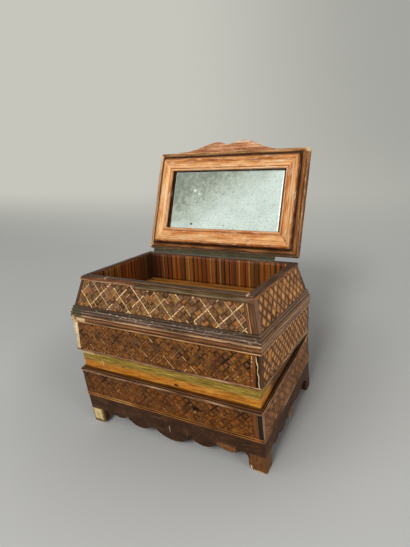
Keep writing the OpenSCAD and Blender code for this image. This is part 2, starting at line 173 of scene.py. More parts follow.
class Finish:
    def __init__(self, name, world=None):
        self.material = world or bpy.data.materials.new(name)
        self.material.use_nodes = True
        self.tree = self.material.node_tree
        self.tree.nodes.clear()

    def node(self, kind, settings=None, inputs=None, output=0):
        made = self.tree.nodes.new("ShaderNode" + kind)
        for key, value in (settings or {}).items():
            if key == "stops":
                self.setStops(made.color_ramp, value)
            elif key == "steps":
                made.color_ramp.interpolation = "CONSTANT" if value else "LINEAR"
            else:
                setattr(made, key, value)
        for key, value in (inputs or {}).items():
            if isinstance(value, Wire):
                self.tree.links.new(value.socket, made.inputs[key])
            else:
                made.inputs[key].default_value = linear(*value) if isinstance(value, tuple) else value
        if made.outputs:
            return Wire(self, made.outputs[output])

    def setStops(self, ramp, stops):
        while len(ramp.elements) > 1:
            ramp.elements.remove(ramp.elements[-1])
        for index, (at, *tone) in enumerate(stops):
            element = ramp.elements.new(at) if index else ramp.elements[0]
            element.position = at
            element.color = linear(*tone)

    def split(self, vector):
        made = self.node("SeparateXYZ", None, {0: vector})
        return [Wire(self, s) for s in made.socket.node.outputs]

    def straw(self, layer="straw"):
        # two distances in millimetres from a piece's own map: along it, and round its section
        return self.split(self.node("UVMap", {"uv_map": layer}))[:2]

    def profile(self):
        # the same, then the section's own offset and height
        return [*self.straw(), *self.straw("profile")]

    def objectPoint(self, body):
        # closed casket millimetres on a piece that rides on the body
        back = placeOf[body].inverted()
        point = self.node("TexCoord", None, None, "Object")
        moved = self.node("Mapping", None, {"Vector": point, "Location": back.to_translation(),
                                            "Rotation": back.to_euler("XYZ")})
        x, y, z = self.split(moved)
        return x * 1000, y * 1000 + middleY, z * 1000

    def vector(self, x, y=0, z=0):
        return self.node("CombineXYZ", None, {0: x, 1: y, 2: z})

    def length(self, x, y=0, z=0):
        return self.node("VectorMath", {"operation": "LENGTH"}, {0: self.vector(x, y, z)}, "Value")

    def noise(self, x, y=0, z=0, detail=2, roughness=0.5):
        sockets = {"Vector": self.vector(x, y, z), "Scale": 1, "Detail": detail, "Roughness": roughness}
        return self.node("TexNoise", {"noise_dimensions": "3D"}, sockets)

    def chance(self, x, y=0, z=0):
        return self.node("TexWhiteNoise", {"noise_dimensions": "3D"}, {"Vector": self.vector(x, y, z)})

    def mix(self, factor, a, b, blend="MIX"):
        settings = {"data_type": "RGBA", "blend_type": blend, "clamp_factor": True}
        return self.node("Mix", settings, {0: factor, 6: a, 7: b}, 2)

    def tint(self, a, b):
        return self.mix(1, a, b, "MULTIPLY")

    def over(self, factor, tone, blend="MIX"):
        # lays a tone over the colour so far
        self.colour = self.mix(factor, self.colour, tone, blend)

    def bump(self, height, depth):
        # depth is the real height in millimetres of a height of 1
        return self.node("Bump", None, {"Strength": 1, "Distance": depth * mm, "Height": height})

    def shader(self, colour, roughness, **fixed):
        inputs = {"Base Color": colour, "Roughness": roughness, "Specular IOR Level": 0.3}
        inputs.update({key.replace("_", " "): value for key, value in fixed.items()})
        return self.node("BsdfPrincipled", None, inputs)

    def surface(self, roughness, height, depth, **fixed):
        shader = self.shader(self.colour, roughness, Normal=self.bump(height, depth), **fixed)
        self.node("OutputMaterial", None, {"Surface": shader})
        return self.material

    def varnished(self, roughness, height, depth, gloss=0.3):
        # old varnish tints the light that straw throws back
        return self.surface(roughness, height, depth, Specular_IOR_Level=gloss, Specular_Tint=(255, 214, 158))

    def seen(self):
        # 1 for the camera and for what mirrors or glass show it
        rays = self.node("LightPath").socket.node.outputs
        kinds = [Wire(self, rays[f"Is {kind} Ray"]) for kind in ("Camera", "Glossy", "Transmission")]
        return (kinds[0] + kinds[1] + kinds[2]).least(1)

    def marks(self, s, t, marks):
        # ragged patches: middle, half sizes, raggedness, tones, and how much they cover
        if not marks:
            return 0
        rag = (self.noise(s / 1.9, t / 1.9, 31, 3, 0.7) - 0.5) * 2.4
        grain = self.noise(s * 0.9, t / 6, 37, 3, 0.65)
        bare = 0
        for s0, t0, halfS, halfT, ragged, tones, cover in marks:
            away = (abs(s - s0) - halfS).most(abs(t - t0) - halfT) + rag * ragged
            inside = away.ramp(0.35, -0.35) * cover
            self.over(inside, grain.colours(tones))
            bare = inside.most(bare)
        return bare


# Finishes. Their numbers are millimetres along or across the straw, seeds, and shares of a tone or height.

def latticeFinish(name, look, seed):
    m = Finish(name)
    s, t = m.straw()
    s0, t0 = look["cross"]
    size = look["tile"] * math.sqrt(2)
    wander = m.noise(s / 24, t / 24, seed) - 0.5
    a = (s + t - (s0 + t0)) / size + wander * 0.25
    b = (s - t - (s0 - t0)) / size - wander * 0.25
    ia, ib = a.floor(), b.floor()
    fa, fb = a - ia, b - ib
    turned = ((ia + ib) / 2).fract() * 2
    across = fa + turned * (fb - fa)
    along = fb + turned * (fa - fb)
    tileTone = m.chance(ia, ib, seed)
    stripTone = m.chance(ia * 3 + (across * 3).floor(), ib * 5 + turned, seed + 5)
    fibre = m.noise(across * 16, along * 1.4 + stripTone * 9, tileTone * 30, 2, 0.6)
    tone = spread((tileTone, look["vary"]), (stripTone, 0.34), (fibre, 0.9))
    hue = m.chance(ib, ia, seed + 2) + (m.noise(s / 26, t / 16, seed + 9, 2) - 0.5) * look["drift"]
    m.colour = m.tint(hue.colours(look["hues"], True), tone.colours(look["shade"]))

    # the two families of joints, from each one's cells and share of a cell; every third joint is a major one
    half = look["line"] / look["tile"] / 2
    dark = half * look["shadow"]
    reach = look["arm"]
    joint = 0
    families = []
    for cells, part, lineSeed, pieceSeed in ((a, fa, 3, 11), (b, fb, 5, 17)):
        line = 0.5 - abs(part - 0.5)
        nearest = (cells + 0.5).floor()
        major = abs((nearest / 3 + 0.5).fract() - 0.5) < 0.1
        away = abs((cells / 3 + 0.5).fract() - 0.5)
        piece = (nearest, ib) if cells is a else (ia, nearest)
        chance = m.chance(*piece, seed + pieceSeed)
        force = (chance * 17).fract() * 0.55 + m.chance(nearest, lineSeed, seed + 31) * 0.45
        joint = line.ramp(dark, dark * 0.4).most(joint)
        families.append((line, major, away, chance, force))
    (lineA, majorA, awayA, *_), (lineB, majorB, awayB, *_) = families

    # the crown of each strip, and a painted highlight on the middle of each tile, strongest on the right-hand
    # walls
    crown = (across * 3).fract() - 0.5
    crown = 1 - crown * crown * 4
    m.over((1 - crown).ramp(0.4, 1) * look["seam"], look["dark"])
    inner = lineA.least(lineB).ramp(0.12, 0.42)
    m.over(inner * (0.4 + stripTone * 0.9).least(1) * look["middleHighlight"], look["light"])

    # every third crossing: four greyer tiles with dark seams between them
    row = abs(t - t0).ramp(8, 5) * look["crossDark"]
    group = awayA.ramp(0.36, 0.3) * awayB.ramp(0.36, 0.3) * row
    m.over(group * look["groupDark"], look["groupTone"])
    arms = 0
    for line, major, away in ((lineA, majorA, awayB), (lineB, majorB, awayA)):
        arms = (line.ramp(0.22, 0.13) * major * away.ramp(reach, reach * 0.8)).most(arms)
    force = m.chance((a / 3 + 0.5).floor(), (b / 3 + 0.5).floor(), seed + 37)
    arms = arms * row * (0.5 + force * 0.5)

    # joints between tiles: shaded, with narrow paler straws along some
    m.over(joint * look["jointDark"], look["dark"])
    low = t.ramp(look["lowEdge"], 2) * look["lowPale"]
    wearAndGlint = m.noise(s / 1.3, t / 1.3, seed + 3, 2).ramp(0.36, 0.5)
    lines = 0
    for kind, paler, wide, least in (("minor", look["paleLow"], 0.92, 0.1),
                                     ("major", look["pale"], 1.25, 0.4)):
        pale = 0
        for (line, major, _, chance, force), share in zip(families, look[kind + "Pale"]):
            edge = line.ramp(half * wide * 1.2, half * wide * 0.5) * (force * force + least).least(1)
            share = major * share if kind == "major" else share
            pale = (edge * (chance < share + low)).most(pale)
        pale = pale * wearAndGlint
        m.over(pale * look["paleShow"], paler)
        lines = pale.most(lines)
        low = low * 0.4
    m.over(arms, look["darkest"])

    # a plain strip at the foot, strips beside the mitres, straw over the top edge, and bare wood inside
    m.over(t < look["foot"], look["darkest"])
    edge = look["halfLength"] - t * look["halfSlope"] - abs(s)
    grain = m.noise(edge * 2.2, t / 14, seed + 21, 3, 0.6)
    border = 0
    for sign, near, far, tones in look["ends"]:
        inside = (edge > near) * (edge < far) * (s * sign > 0)
        m.over(inside, grain.colours(tones))
        seam = abs(edge - far).ramp(0.6, 0.15).most(abs(edge - near).ramp(0.5, 0.1)) * (s * sign > 0)
        m.over(seam * 0.75, look["darkest"])
        border = inside.most(border)
    top = look["height"]
    # darker along the wall's foot and its top edge
    footAndTopDark = t.ramp(1.8, 0.2).most(t.ramp(top - 1.6, top - 0.2)) * 0.5
    m.over(footAndTopDark, look["darkest"])
    capGrain = m.noise(s / 22, t * 1.7, seed + 23, 3, 0.6)
    cap = capGrain.colours(look["cap"])
    # painted light and shade across the base's top edge: dark shade lines, a pale highlight line between
    # them, then ochre towards the lip
    if "bands" in look:
        cap = m.tint(((t - top) / look["capWide"]).colours(look["bands"]), cap)
    m.over(t > top, cap)
    wood = m.noise(s / 18, t / 3, seed + 24, 3, 0.6)
    m.over(t > top + look["capWide"], wood.colours(look["inside"]))
    bare = m.marks(s, t, look["marks"])

    height = crown * 0.3 + tileTone * 0.3 + fibre * 0.3 - joint * 0.6 + lines * 0.5
    height = height * (1 - border) + grain * border * 0.8 + capGrain * (t > top)
    height = height * (1 - bare) - bare * 1.5
    rough = 0.36 + fibre * 0.2 + (1 - crown) * 0.1 + footAndTopDark * 0.2 + bare * 0.3
    return m.varnished(rough, height, 0.32, look["gloss"])


def reedFinish(name, look, seed):
    # straw laid lengthwise over reeds and beads, its colour set by the height and a few patches
    m = Finish(name)
    s, t, _, z = m.profile()
    fibre = m.noise(s / 18, t * 2.4, seed, 3, 0.62)
    cloud = m.noise(s / 38, t * 0.6, seed + 4, 2)
    fleck = m.noise(s / 4.4, t * 1.2, seed + 8, 2, 0.7) + (cloud - 0.5) * 0.3
    tone = spread((fibre, 1.3), (cloud, 1.4))
    # colour by height: straw tones, with painted shade in the grooves between reeds and a painted highlight
    # along the arris bead
    if "levels" in look:
        low, high, stops = look["levels"]
        wander = (m.noise(s / 16, 0, seed + 2) - 0.5) * 0.9
        m.colour = m.tint(((z + wander - low) / (high - low)).colours(stops), tone.colours(look["shade"]))
    else:
        m.colour = tone.colours(look["tones"])
    if "top" in look:
        m.over(z > look["top"][0], tone.colours(look["top"][1]))
    # pale flecks of worn straw; on the waist they crowd round the glints height as painted glints on the
    # reeds
    wearAndGlint = fleck.ramp(look["wearAndGlintFrom"], look["wearAndGlintFrom"] + 0.06)
    if "glints" in look:
        wearAndGlint = wearAndGlint * (0.25 + abs(z - look["glints"]).ramp(3.4, 2.6))
    m.over(wearAndGlint * look["wearAndGlintShow"], look["wearAndGlint"])
    for s0, halfS, z0, halfZ, tones in look.get("runs", []):
        inside = abs(s - s0).ramp(halfS + 0.6, halfS) * abs(z - z0).ramp(halfZ + 0.3, halfZ)
        m.over(inside, tone.colours(tones))
    bare = m.marks(s, z, look.get("marks"))
    crack = (s / 11 + m.chance((s / 11).floor(), seed) * 0.6).fract() - 0.5
    m.over(abs(crack).ramp(0.025, 0.005) * 0.3, look["dark"])
    rough = look["rough"] + fibre * 0.22 + wearAndGlint * 0.15 + bare * 0.3
    return m.varnished(rough, fibre * 0.6 + wearAndGlint * 0.3 - bare, 0.28, look["gloss"])


def lipFinish(name, look, side, seed):
    # olive straw above, ochre below, laid lengthwise on the lip boards
    m = Finish(name)
    s, _, out, z = m.profile()
    grain = m.noise(s / 26, z * 2.6, seed, 3, 0.62)
    cloud = m.noise(s / 20, z / 4, seed + 2, 2)
    tone = spread((grain, 1.8), (cloud, 0.5))
    above = (z + (cloud - 0.5) * 4).ramp(look["middle"] - 2.8, look["middle"] + 2.6)
    m.colour = m.mix(above, tone.colours(look["low"]), tone.colours(look["high"]))
    stain = m.noise(s / 10, z / 1.8, seed + 7, 3, 0.6).ramp(0.55, 0.66)
    m.over(stain * 0.7, look["stain"])
    m.over(out < -1.2, tone.colours(look["inside"]))
    bare = m.marks(s, z, look["marks"].get(side))
    # painted shadow: the right lip board darkens towards the back, from the given place along it
    if side in look["backShadow"]:
        backShadow = s.ramp(look["backShadow"][side] - 8, look["backShadow"][side] + 8)
        m.over(backShadow * 0.9, tone.colours(umber))
    m.over(z.ramp(look["foot"] + 1.3, look["foot"]) * 0.8, look["dark"])
    return m.varnished(0.36 + grain * 0.2, grain - bare, 0.2)


def stripedFinish(name, look, side, seed):
    # upright straws: broad rust ones between narrow dark, olive and tan ones
    m = Finish(name)
    s, _, _, z = m.profile()
    wander = (m.noise(s / 9, z / 40, seed) - 0.5) * 0.7
    x = (s + wander) / look["pitch"]
    cell, f = x.floor(), x.fract()
    first = 0.5 + m.chance(cell, 2, seed) * 0.22
    second = first + 0.1 + m.chance(cell, 3, seed) * 0.1
    fibre = m.noise(s * 2.2, z / 9, seed + 4, 3, 0.6)
    broad, narrow, thin = [m.chance(cell, pick, seed).colours(look[kind], True)
                           for pick, kind in ((1, "broad"), (5, "narrow"), (6, "thin"))]
    m.colour = m.mix(f > second, m.mix(f > first, broad, narrow), thin)
    m.over(fibre.ramp(0.5, 0.8) * 0.5, look["light"], "SOFT_LIGHT")
    m.over(fibre.ramp(0.5, 0.25) * 0.5, look["dark"])
    joint = f.ramp(0.05, 0).most(abs(f - first).ramp(0.04, 0)).most(abs(f - second).ramp(0.04, 0))
    m.over(joint * 0.55, look["dark"])
    for sign, where, reach, cover in look["shade"].get(side, []):
        m.over((s * sign).ramp(where - reach, where) * cover, look["dark"])
    return m.surface(0.4 + fibre * 0.2, fibre * 0.5 - joint * 0.6, 0.25, Specular_IOR_Level=0.25)


def goldFinish(name, look, seed, body=None):
    # golden straw laid lengthwise in strips, by the piece's own map or, on a CAD part, by its body's place
    m = Finish(name)
    if body:
        x, y, z = m.objectPoint(body)
        s, t, out = x, y + z * 0.7, y
        if "lit" in look:
            turn = (x - look["lit"][0]).ramp(0, 1)
            s, t = x + turn * (y - x), t + turn * (x - t)
    else:
        s, t, out, z = m.profile()
    band = t / look["strip"] + (m.noise(s / 40, t / 9, seed + 11) - 0.5) * 0.4
    stripTone = m.chance(band.floor(), seed)
    fibre = m.noise(s / look["run"] + stripTone * 40, t * 2.8, seed, 3, 0.64)
    cloud = m.noise(s / 24, t / 7, seed + 3, 2)
    tone = spread((fibre, 1.5), (stripTone, 0.35), (cloud, 0.6))
    joint = (0.5 - abs(band.fract() - 0.5)).ramp(0.07, 0.01)
    m.colour = m.mix(joint * look["joint"], tone.colours(look["tones"]), look["dark"])
    if "across" in look:
        # painted highlights and shade by the distance in from the outer edge, as the roll, the face and the
        # sight bead
        low, high, stops = look["across"]
        m.colour = m.tint(m.colour, ((out - low) / (high - low)).colours(stops))
    if "lit" in look:
        lit = (x - look["lit"][0]).most(y - look["lit"][1]).ramp(0, 2)
        m.over(lit, tone.colours(look["litTones"]))
    # painted shade: within the deep height of the board, on a rail's outer side and at its sight edge, the
    # straw goes near-black
    if "deep" in look:
        m.over(z.ramp(look["deep"] - 0.5, look["deep"] + 0.5), look["deepShade"])
    # pale streaks of scuffed straw, which on the rails also stand for painted highlights
    scuffAndSheen = m.noise(s / look["run"] * 4, t * 1.3, seed + 6, 2, 0.65).ramp(look["scuffAndSheen"], look["scuffAndSheen"] + 0.07)
    m.over(scuffAndSheen * look["scuffAndSheenShow"], look["wearAndGlint"])
    split = m.noise(s / 30, t * 2.4, seed + 13, 3, 0.55)
    crack = abs(split - 0.5).ramp(0.012, 0.002) * m.noise(s / 12, t / 2, seed + 14).ramp(0.48, 0.6)
    m.over(crack * look["crack"], look["dark"])
    bare = m.marks(s, out, look.get("marks"))
    height = fibre * 0.6 - joint * 0.5 - crack * 0.6 - bare
    return m.varnished(look["rough"] + fibre * 0.2 + scuffAndSheen * 0.1, height, 0.25, look["gloss"])


def apronFinish(name, look, side, seed):
    # dark rubbed straw with chips down to the wood
    m = Finish(name)
    x, y, z = m.objectPoint("base")
    s = {"front": x, "right": y, "back": 0 - x, "left": 0 - y}[side]
    grain = m.noise(s / 20, z * 2.2, seed, 3, 0.62)
    cloud = m.noise(s / 16, z / 9, seed + 2, 3, 0.6)
    rub = m.noise(s / 5, z / 1.6, seed + 5, 3, 0.7)
    m.colour = spread((grain, 0.9), (cloud, 0.8)).colours(look["tones"])
    m.over(rub.ramp(0.58, 0.66) * 0.5, look["wearAndGlint"])
    m.over(z.ramp(casket["apronTop"] - 5, casket["apronTop"] - 0.5) * 0.5, look["upper"])
    bare = m.marks(s, z, look["marks"].get(side))
    m.over(z.ramp(1.3, 0.2) * 0.45, look["toe"])
    height = grain * 0.5 + cloud * 0.3 + rub * 0.3 - bare * 0.8
    return m.varnished(0.42 + grain * 0.22 + bare * 0.2, height, 0.35, 0.25)


def woodFinish(name, look, seed):
    m = Finish(name)
    x, y, z = m.objectPoint("base")
    grain = m.noise(x / 26, y * 1.3, z * 1.3 + seed, 4, 0.62)
    rings = m.noise(x / 60, y / 7, z / 7 + seed, 2)
    m.colour = (grain * 0.7 + rings * 0.4 - 0.05).colours(look["tones"])
    return m.surface(0.62 + grain * 0.2, grain, 0.22)


def clothFinish(name, look):
    # a plain weave, rubbed in places
    m = Finish(name)
    s, t = m.straw()
    s1, t1 = s / look["thread"][0], t / look["thread"][1]
    warp = abs(s1.fract() - 0.5) * 2
    weft = abs(t1.fract() - 0.5) * 2
    over = ((s1.floor() + t1.floor()) / 2).fract() * 2
    weave = warp + over * (weft - warp)
    cloud = m.noise(s / 11, t / 4, 1, 3, 0.6)
    m.colour = (cloud * 0.9 + weave * 0.22 - 0.08).colours(look["tones"])
    rub = m.noise(s / 5, t, 5, 3, 0.65).ramp(0.6, 0.72)
    m.over(rub * 0.5, look["wearAndGlint"])
    return m.surface(0.86, weave, 0.12, Sheen_Weight=0.25, Sheen_Roughness=0.5)


def brassFinish(name, look):
    m = Finish(name)
    x, y, z = m.objectPoint("base")
    tarnish = m.noise(x / 3, y / 3, z / 3, 4, 0.6)
    m.colour = tarnish.colours(look["tones"])
    return m.surface(0.3 + tarnish * 0.35, tarnish, 0.06, Metallic=1.0)


def tornFinish(name, look, seed):
    m = Finish(name)
    x, y, z = m.objectPoint("case")
    grain = m.noise(x * 0.9, y * 0.9, z / 5 + seed, 4, 0.65)
    m.colour = grain.colours(look["tones"])
    return m.surface(0.75, grain, 0.4)


def mirrorFinish(name, look):
    # old silvering, foxed towards its upper left corner, under slightly green glass
    m = Finish(name)
    x, y, _ = m.objectPoint("lid")
    up = 0 - y
    cloud = m.noise(x / 26, y / 26, 4, 3, 0.6)
    speck = m.noise(x / 1.9, y / 1.9, 7, 4, 0.75)
    coarse = m.noise(x / 6, y / 6, 2, 3, 0.65)
    corner = (up / 45 - x / 75 + 0.4).ramp(0, 1.6)
    fox = (speck - 0.5) * 2.4 + (coarse - 0.5) * 1.7 + corner * 0.42
    fox = fox.ramp(0.16, 0.56) * look["foxing"]
    grain = (coarse - 0.5) * 0.55 + (speck - 0.5) * 1.15
    m.colour = (cloud * 0.6 + (1 - corner) * 0.45 + grain).colours(look["tones"])
    m.over(fox, look["fox"])
    m.over((speck - coarse * 0.3).ramp(0.42, 0.5) * 0.4, look["glint"])
    box = look["plate"]
    # painted highlight: a pale band round the plate's edge for the glint of its bevel
    rim = (abs(x) - box["halfW"] + 1.0).most(abs(y - box["middle"]) - box["halfD"] + 1.0).ramp(0, 0.5)
    m.over(rim * 0.7, look["edge"])
    spots = 0
    for at, size, tone in look["spots"]:
        ring = m.length((x - at[0]) / size[0], (up - at[1]) / size[1]) + (speck - 0.5) * 1.2
        spot = ring.ramp(1.2, 0.5)
        m.over(spot, tone)
        spots = spots + spot
    metal = 1 - (fox * 0.5).most(spots.least(1) * 0.8).most(rim)
    rough = look["rough"] + coarse * 0.08 + fox * 0.25 + spots.least(1) * 0.3 + rim * 0.6
    return m.surface(rough, coarse, 0.02, Metallic=metal)


# Looks: what a user would change. Tones run from dark to light along the grain.

def shades(*tones):
    # stops spread over the middle of a ramp
    last = len(tones) - 1
    return [(0.22 + 0.56 * i / last, *tone) for i, tone in enumerate(tones)]


cream = shades((150, 110, 66), (222, 190, 140), (246, 228, 192))
bone = shades((196, 162, 112), (236, 214, 172), (252, 240, 212))
black = shades((14, 10, 8), (26, 18, 14))
umber = shades((44, 27, 17), (78, 49, 31), (112, 74, 47))
worm = shades((18, 11, 8), (30, 19, 13))
pinkish = shades((56, 34, 25), (116, 79, 60), (152, 112, 88), (190, 150, 122))
paleWood = shades((140, 118, 84), (194, 172, 130), (226, 210, 172))
greys = shades((96, 88, 82), (176, 170, 166), (222, 218, 214), (255, 255, 255))
brown = {
    "tile": 5.4, "cross": (4.2, 0.7), "vary": 0.34, "drift": 0.4, "line": 0.86, "gloss": 0.3, "shade": greys,
    "hues": [(0, 150, 104, 68), (0.2, 166, 122, 68), (0.4, 132, 98, 70),
             (0.6, 156, 108, 84), (0.78, 178, 116, 64), (0.9, 126, 88, 70)],
    "dark": (46, 27, 14), "darkest": (25, 15, 9), "light": (200, 144, 86), "seam": 0.72,
    "groupTone": (66, 52, 46), "groupDark": 0.0,
    "pale": (255, 221, 164), "paleLow": (250, 184, 124), "middleHighlight": 0.16,
    "jointDark": 0.82, "arm": 0.0, "crossDark": 0.0, "majorPale": (0.94, 0.72), "minorPale": (0.6, 0.66),
    "lowPale": 0.22, "lowEdge": 18, "paleShow": 1.0,
    "ends": [(1, 0, 5.5, shades((36, 22, 15), (66, 41, 27), (104, 70, 47), (156, 116, 86))),
             (1, 5.5, 6.9, shades((120, 70, 38), (200, 138, 86), (244, 198, 146))),
             (1, 6.9, 8.6, shades((78, 44, 25), (124, 78, 46), (160, 108, 70))), (-1, 0, 3.4, umber)],
    "height": 39.3, "halfLength": 98.6, "halfSlope": 0.257, "marks": [], "foot": 0, "shadow": 1.9,
    "cap": shades((48, 28, 20), (104, 68, 48), (186, 146, 112), (228, 196, 158)), "capWide": 9,
    "inside": shades((34, 22, 15), (62, 42, 28), (84, 58, 38)),
}
caseLook = {
    **brown, "tile": 5.34, "cross": (0, 20), "vary": 0.14, "drift": 0.3, "line": 0.8,
    "height": 37, "halfSlope": 0,
    "hues": [(0, 140, 84, 36), (0.22, 154, 98, 36), (0.45, 132, 80, 36),
             (0.65, 146, 84, 44), (0.82, 162, 94, 34), (0.93, 126, 76, 42)],
    "pale": (244, 190, 124), "paleLow": (222, 156, 92), "light": (186, 120, 62),
    "dark": (30, 15, 8), "darkest": (18, 10, 7), "gloss": 0.2, "shadow": 2.3,
    "groupDark": 0.36, "jointDark": 0.97, "arm": 0.38, "crossDark": 0.92, "middleHighlight": 0.2, "seam": 0.5,
    "majorPale": (0.3, 0.14), "minorPale": (0.95, 0.92), "lowPale": 0.12, "paleShow": 0.9,
    "ends": [(1, 4.4, 9.2, shades((70, 36, 16), (120, 68, 30), (158, 96, 46))), (1, 0, 4.4, umber),
             (-1, 0, 3, umber)],
}
baseLook = {
    **caseLook, "tile": 5.77, "cross": (5.5, 26), "vary": 0.12, "line": 0.74,
    "height": 31.6, "halfLength": 98.5,
    "hues": [(0, 134, 76, 23), (0.25, 150, 87, 24), (0.5, 122, 71, 23),
             (0.72, 148, 81, 23), (0.9, 118, 66, 26)],
    "pale": (224, 164, 96), "paleLow": (194, 128, 66), "jointDark": 0.75, "groupDark": 0.1,
    "arm": 0.4, "crossDark": 1.0, "majorPale": (0.12, 0.1), "minorPale": (0.85, 0.9), "paleShow": 0.75,
    "foot": 4.5, "cap": greys, "capWide": 6,
    # painted light and shade across the top edge: dark shade lines, a pale highlight line and ochre
    "bands": [(0, 60, 36, 24), (0.2, 50, 30, 20), (0.28, 170, 128, 96), (0.42, 120, 80, 54),
              (0.5, 44, 26, 17), (0.6, 70, 42, 24), (0.7, 170, 106, 42), (1, 150, 90, 34)],
    "ends": [(1, 0.4, 4.6, shades((16, 12, 9), (34, 26, 19), (58, 44, 32))),
             (1, 4.6, 5.3, shades((120, 80, 52), (190, 146, 104), (226, 190, 150))),
             (1, 5.3, 9.4, shades((66, 34, 17), (116, 66, 31), (150, 92, 46))), (1, 0, 0.4, umber),
             (-1, 0, 2.4, umber)],
}
sideLook = {
    "halfLength": 65.6, "middleHighlight": 0.7, "jointDark": 0.95, "line": 1.05, "light": (238, 176, 108), "vary": 0.4,
    "hues": [(0, 182, 122, 66), (0.3, 206, 146, 78), (0.55, 170, 108, 62),
             (0.75, 216, 144, 70), (0.9, 170, 108, 74)],
    "dark": (84, 44, 20), "darkest": (48, 27, 14), "seam": 0.3,
    "majorPale": (0.04, 0.04), "minorPale": (0.06, 0.06), "lowPale": 0.0, "crossDark": 0.0, "groupDark": 0.0,
    "ends": [(-1, 0, 5, pinkish), (1, 0, 4, umber)],
}
stitches = [(90.9, t, 0.42, long, 0.5, cream, show) for t, long, show in
            ((7.6, 0.6, 0.45), (12.5, 0.5, 0.35), (20.2, 0.8, 0.8), (23.8, 1.0, 1), (27.4, 1.3, 1))]
latticeLooks = {
    "cantFront": {**brown, "marks": [(-94.5, 3, 4, 6, 2.5, shades((40, 40, 30), (66, 64, 48)), 0.9)]},
    "cantRight": {**brown, **sideLook, "tile": 7.9, "cross": (2, 4),
                  "ends": [(-1, 0, 7.5, pinkish), (1, 0, 5, umber)],
                  "marks": [(-34, 4, 20, 3.4, 3, pinkish, 0.8), (58, 30, 7, 6, 4, pinkish, 0.7)]},
    "cantBack": {**brown, "cross": (1.4, 3), "majorPale": (0.3, 0.2), "lowPale": 0.05},
    "cantLeft": {**brown, "halfLength": 65.6, "cross": (3, 2), "majorPale": (0.4, 0.2),
                 "ends": sideLook["ends"]},
    "caseFront": {**caseLook, "marks": stitches + [
        (95.7, 19, 1.2, 18, 0.8, black, 1), (-96.4, 20, 3.6, 18, 1.6, bone, 1),
        (-99.2, 12, 1.5, 4.6, 1.2, black, 1), (-99, 27, 0.8, 5, 1.2, umber, 0.7)]},
    "caseRight": {**caseLook, **sideLook, "tile": 6.5, "cross": (2, 20), "marks": [
        (-46, 22, 3, 5, 5, shades((170, 112, 52), (226, 166, 88)), 0.8),
        (34, 1.4, 30, 2.0, 2.4, paleWood, 0.9), (-62.5, 16, 2.4, 15, 2.4, umber, 0.8)]},
    "caseBack": {**caseLook, "cross": (6, 19)},
    "caseLeft": {**caseLook, "cross": (3, 20), "halfLength": 65.6, "ends": sideLook["ends"]},
    "baseFront": {**baseLook, "marks": [
        (34.6, 19.3, 2.9, 2.4, 2.6, worm, 1), (39, 18.4, 1.5, 1.1, 2, worm, 0.8),
        (33.2, 15, 1.1, 0.6, 1.2, cream, 0.85), (-92, 16, 7, 18, 8, umber, 0.4)]},
    "baseRight": {**baseLook, **sideLook, "tile": 6.2, "halfLength": 65.5, "cross": (3, 24), "capWide": 4,
                  "jointDark": 0.6, "middleHighlight": 0.3, "light": (196, 140, 84),
                  "hues": [(0, 160, 106, 62), (0.35, 178, 122, 70), (0.7, 148, 96, 60)],
                  "marks": [(-64.6, 16, 0.9, 14.5, 0.8, shades((120, 92, 66), (178, 146, 110)), 0.8)]},
    "baseBack": {**baseLook, "cross": (2, 25)},
    "baseLeft": {**baseLook, "cross": (4, 25), "halfLength": 65.5, "ends": sideLook["ends"], "capWide": 4},
}

reedShade = shades((120, 112, 108), (190, 186, 182), (238, 236, 232), (255, 255, 255))
# the waist's colours by height, front and sides, with painted shade in the grooves between its reeds and a
# painted highlight along its arris bead
waistLevels = [
    (0, 170, 108, 60), (0.07, 226, 170, 116), (0.11, 84, 50, 30), (0.16, 44, 27, 18), (0.2, 122, 74, 42),
    (0.28, 166, 106, 62), (0.34, 112, 66, 38), (0.4, 54, 32, 22), (0.44, 214, 170, 124), (0.5, 150, 108, 78),
    (0.545, 34, 23, 19), (0.6, 98, 76, 64), (0.66, 146, 118, 102), (0.7, 44, 33, 29), (0.78, 134, 112, 100),
    (0.84, 50, 37, 32), (0.92, 92, 70, 58), (1, 46, 32, 26),
]
sideLevels = [
    (0, 150, 98, 60), (0.07, 214, 160, 112), (0.12, 92, 56, 34), (0.2, 150, 100, 66), (0.34, 176, 122, 82),
    (0.42, 84, 50, 30), (0.47, 216, 164, 112), (0.53, 74, 44, 28), (0.62, 148, 100, 66), (0.7, 80, 50, 34),
    (0.78, 166, 124, 92), (0.86, 98, 66, 46), (0.93, 150, 110, 82), (1, 100, 70, 50),
]
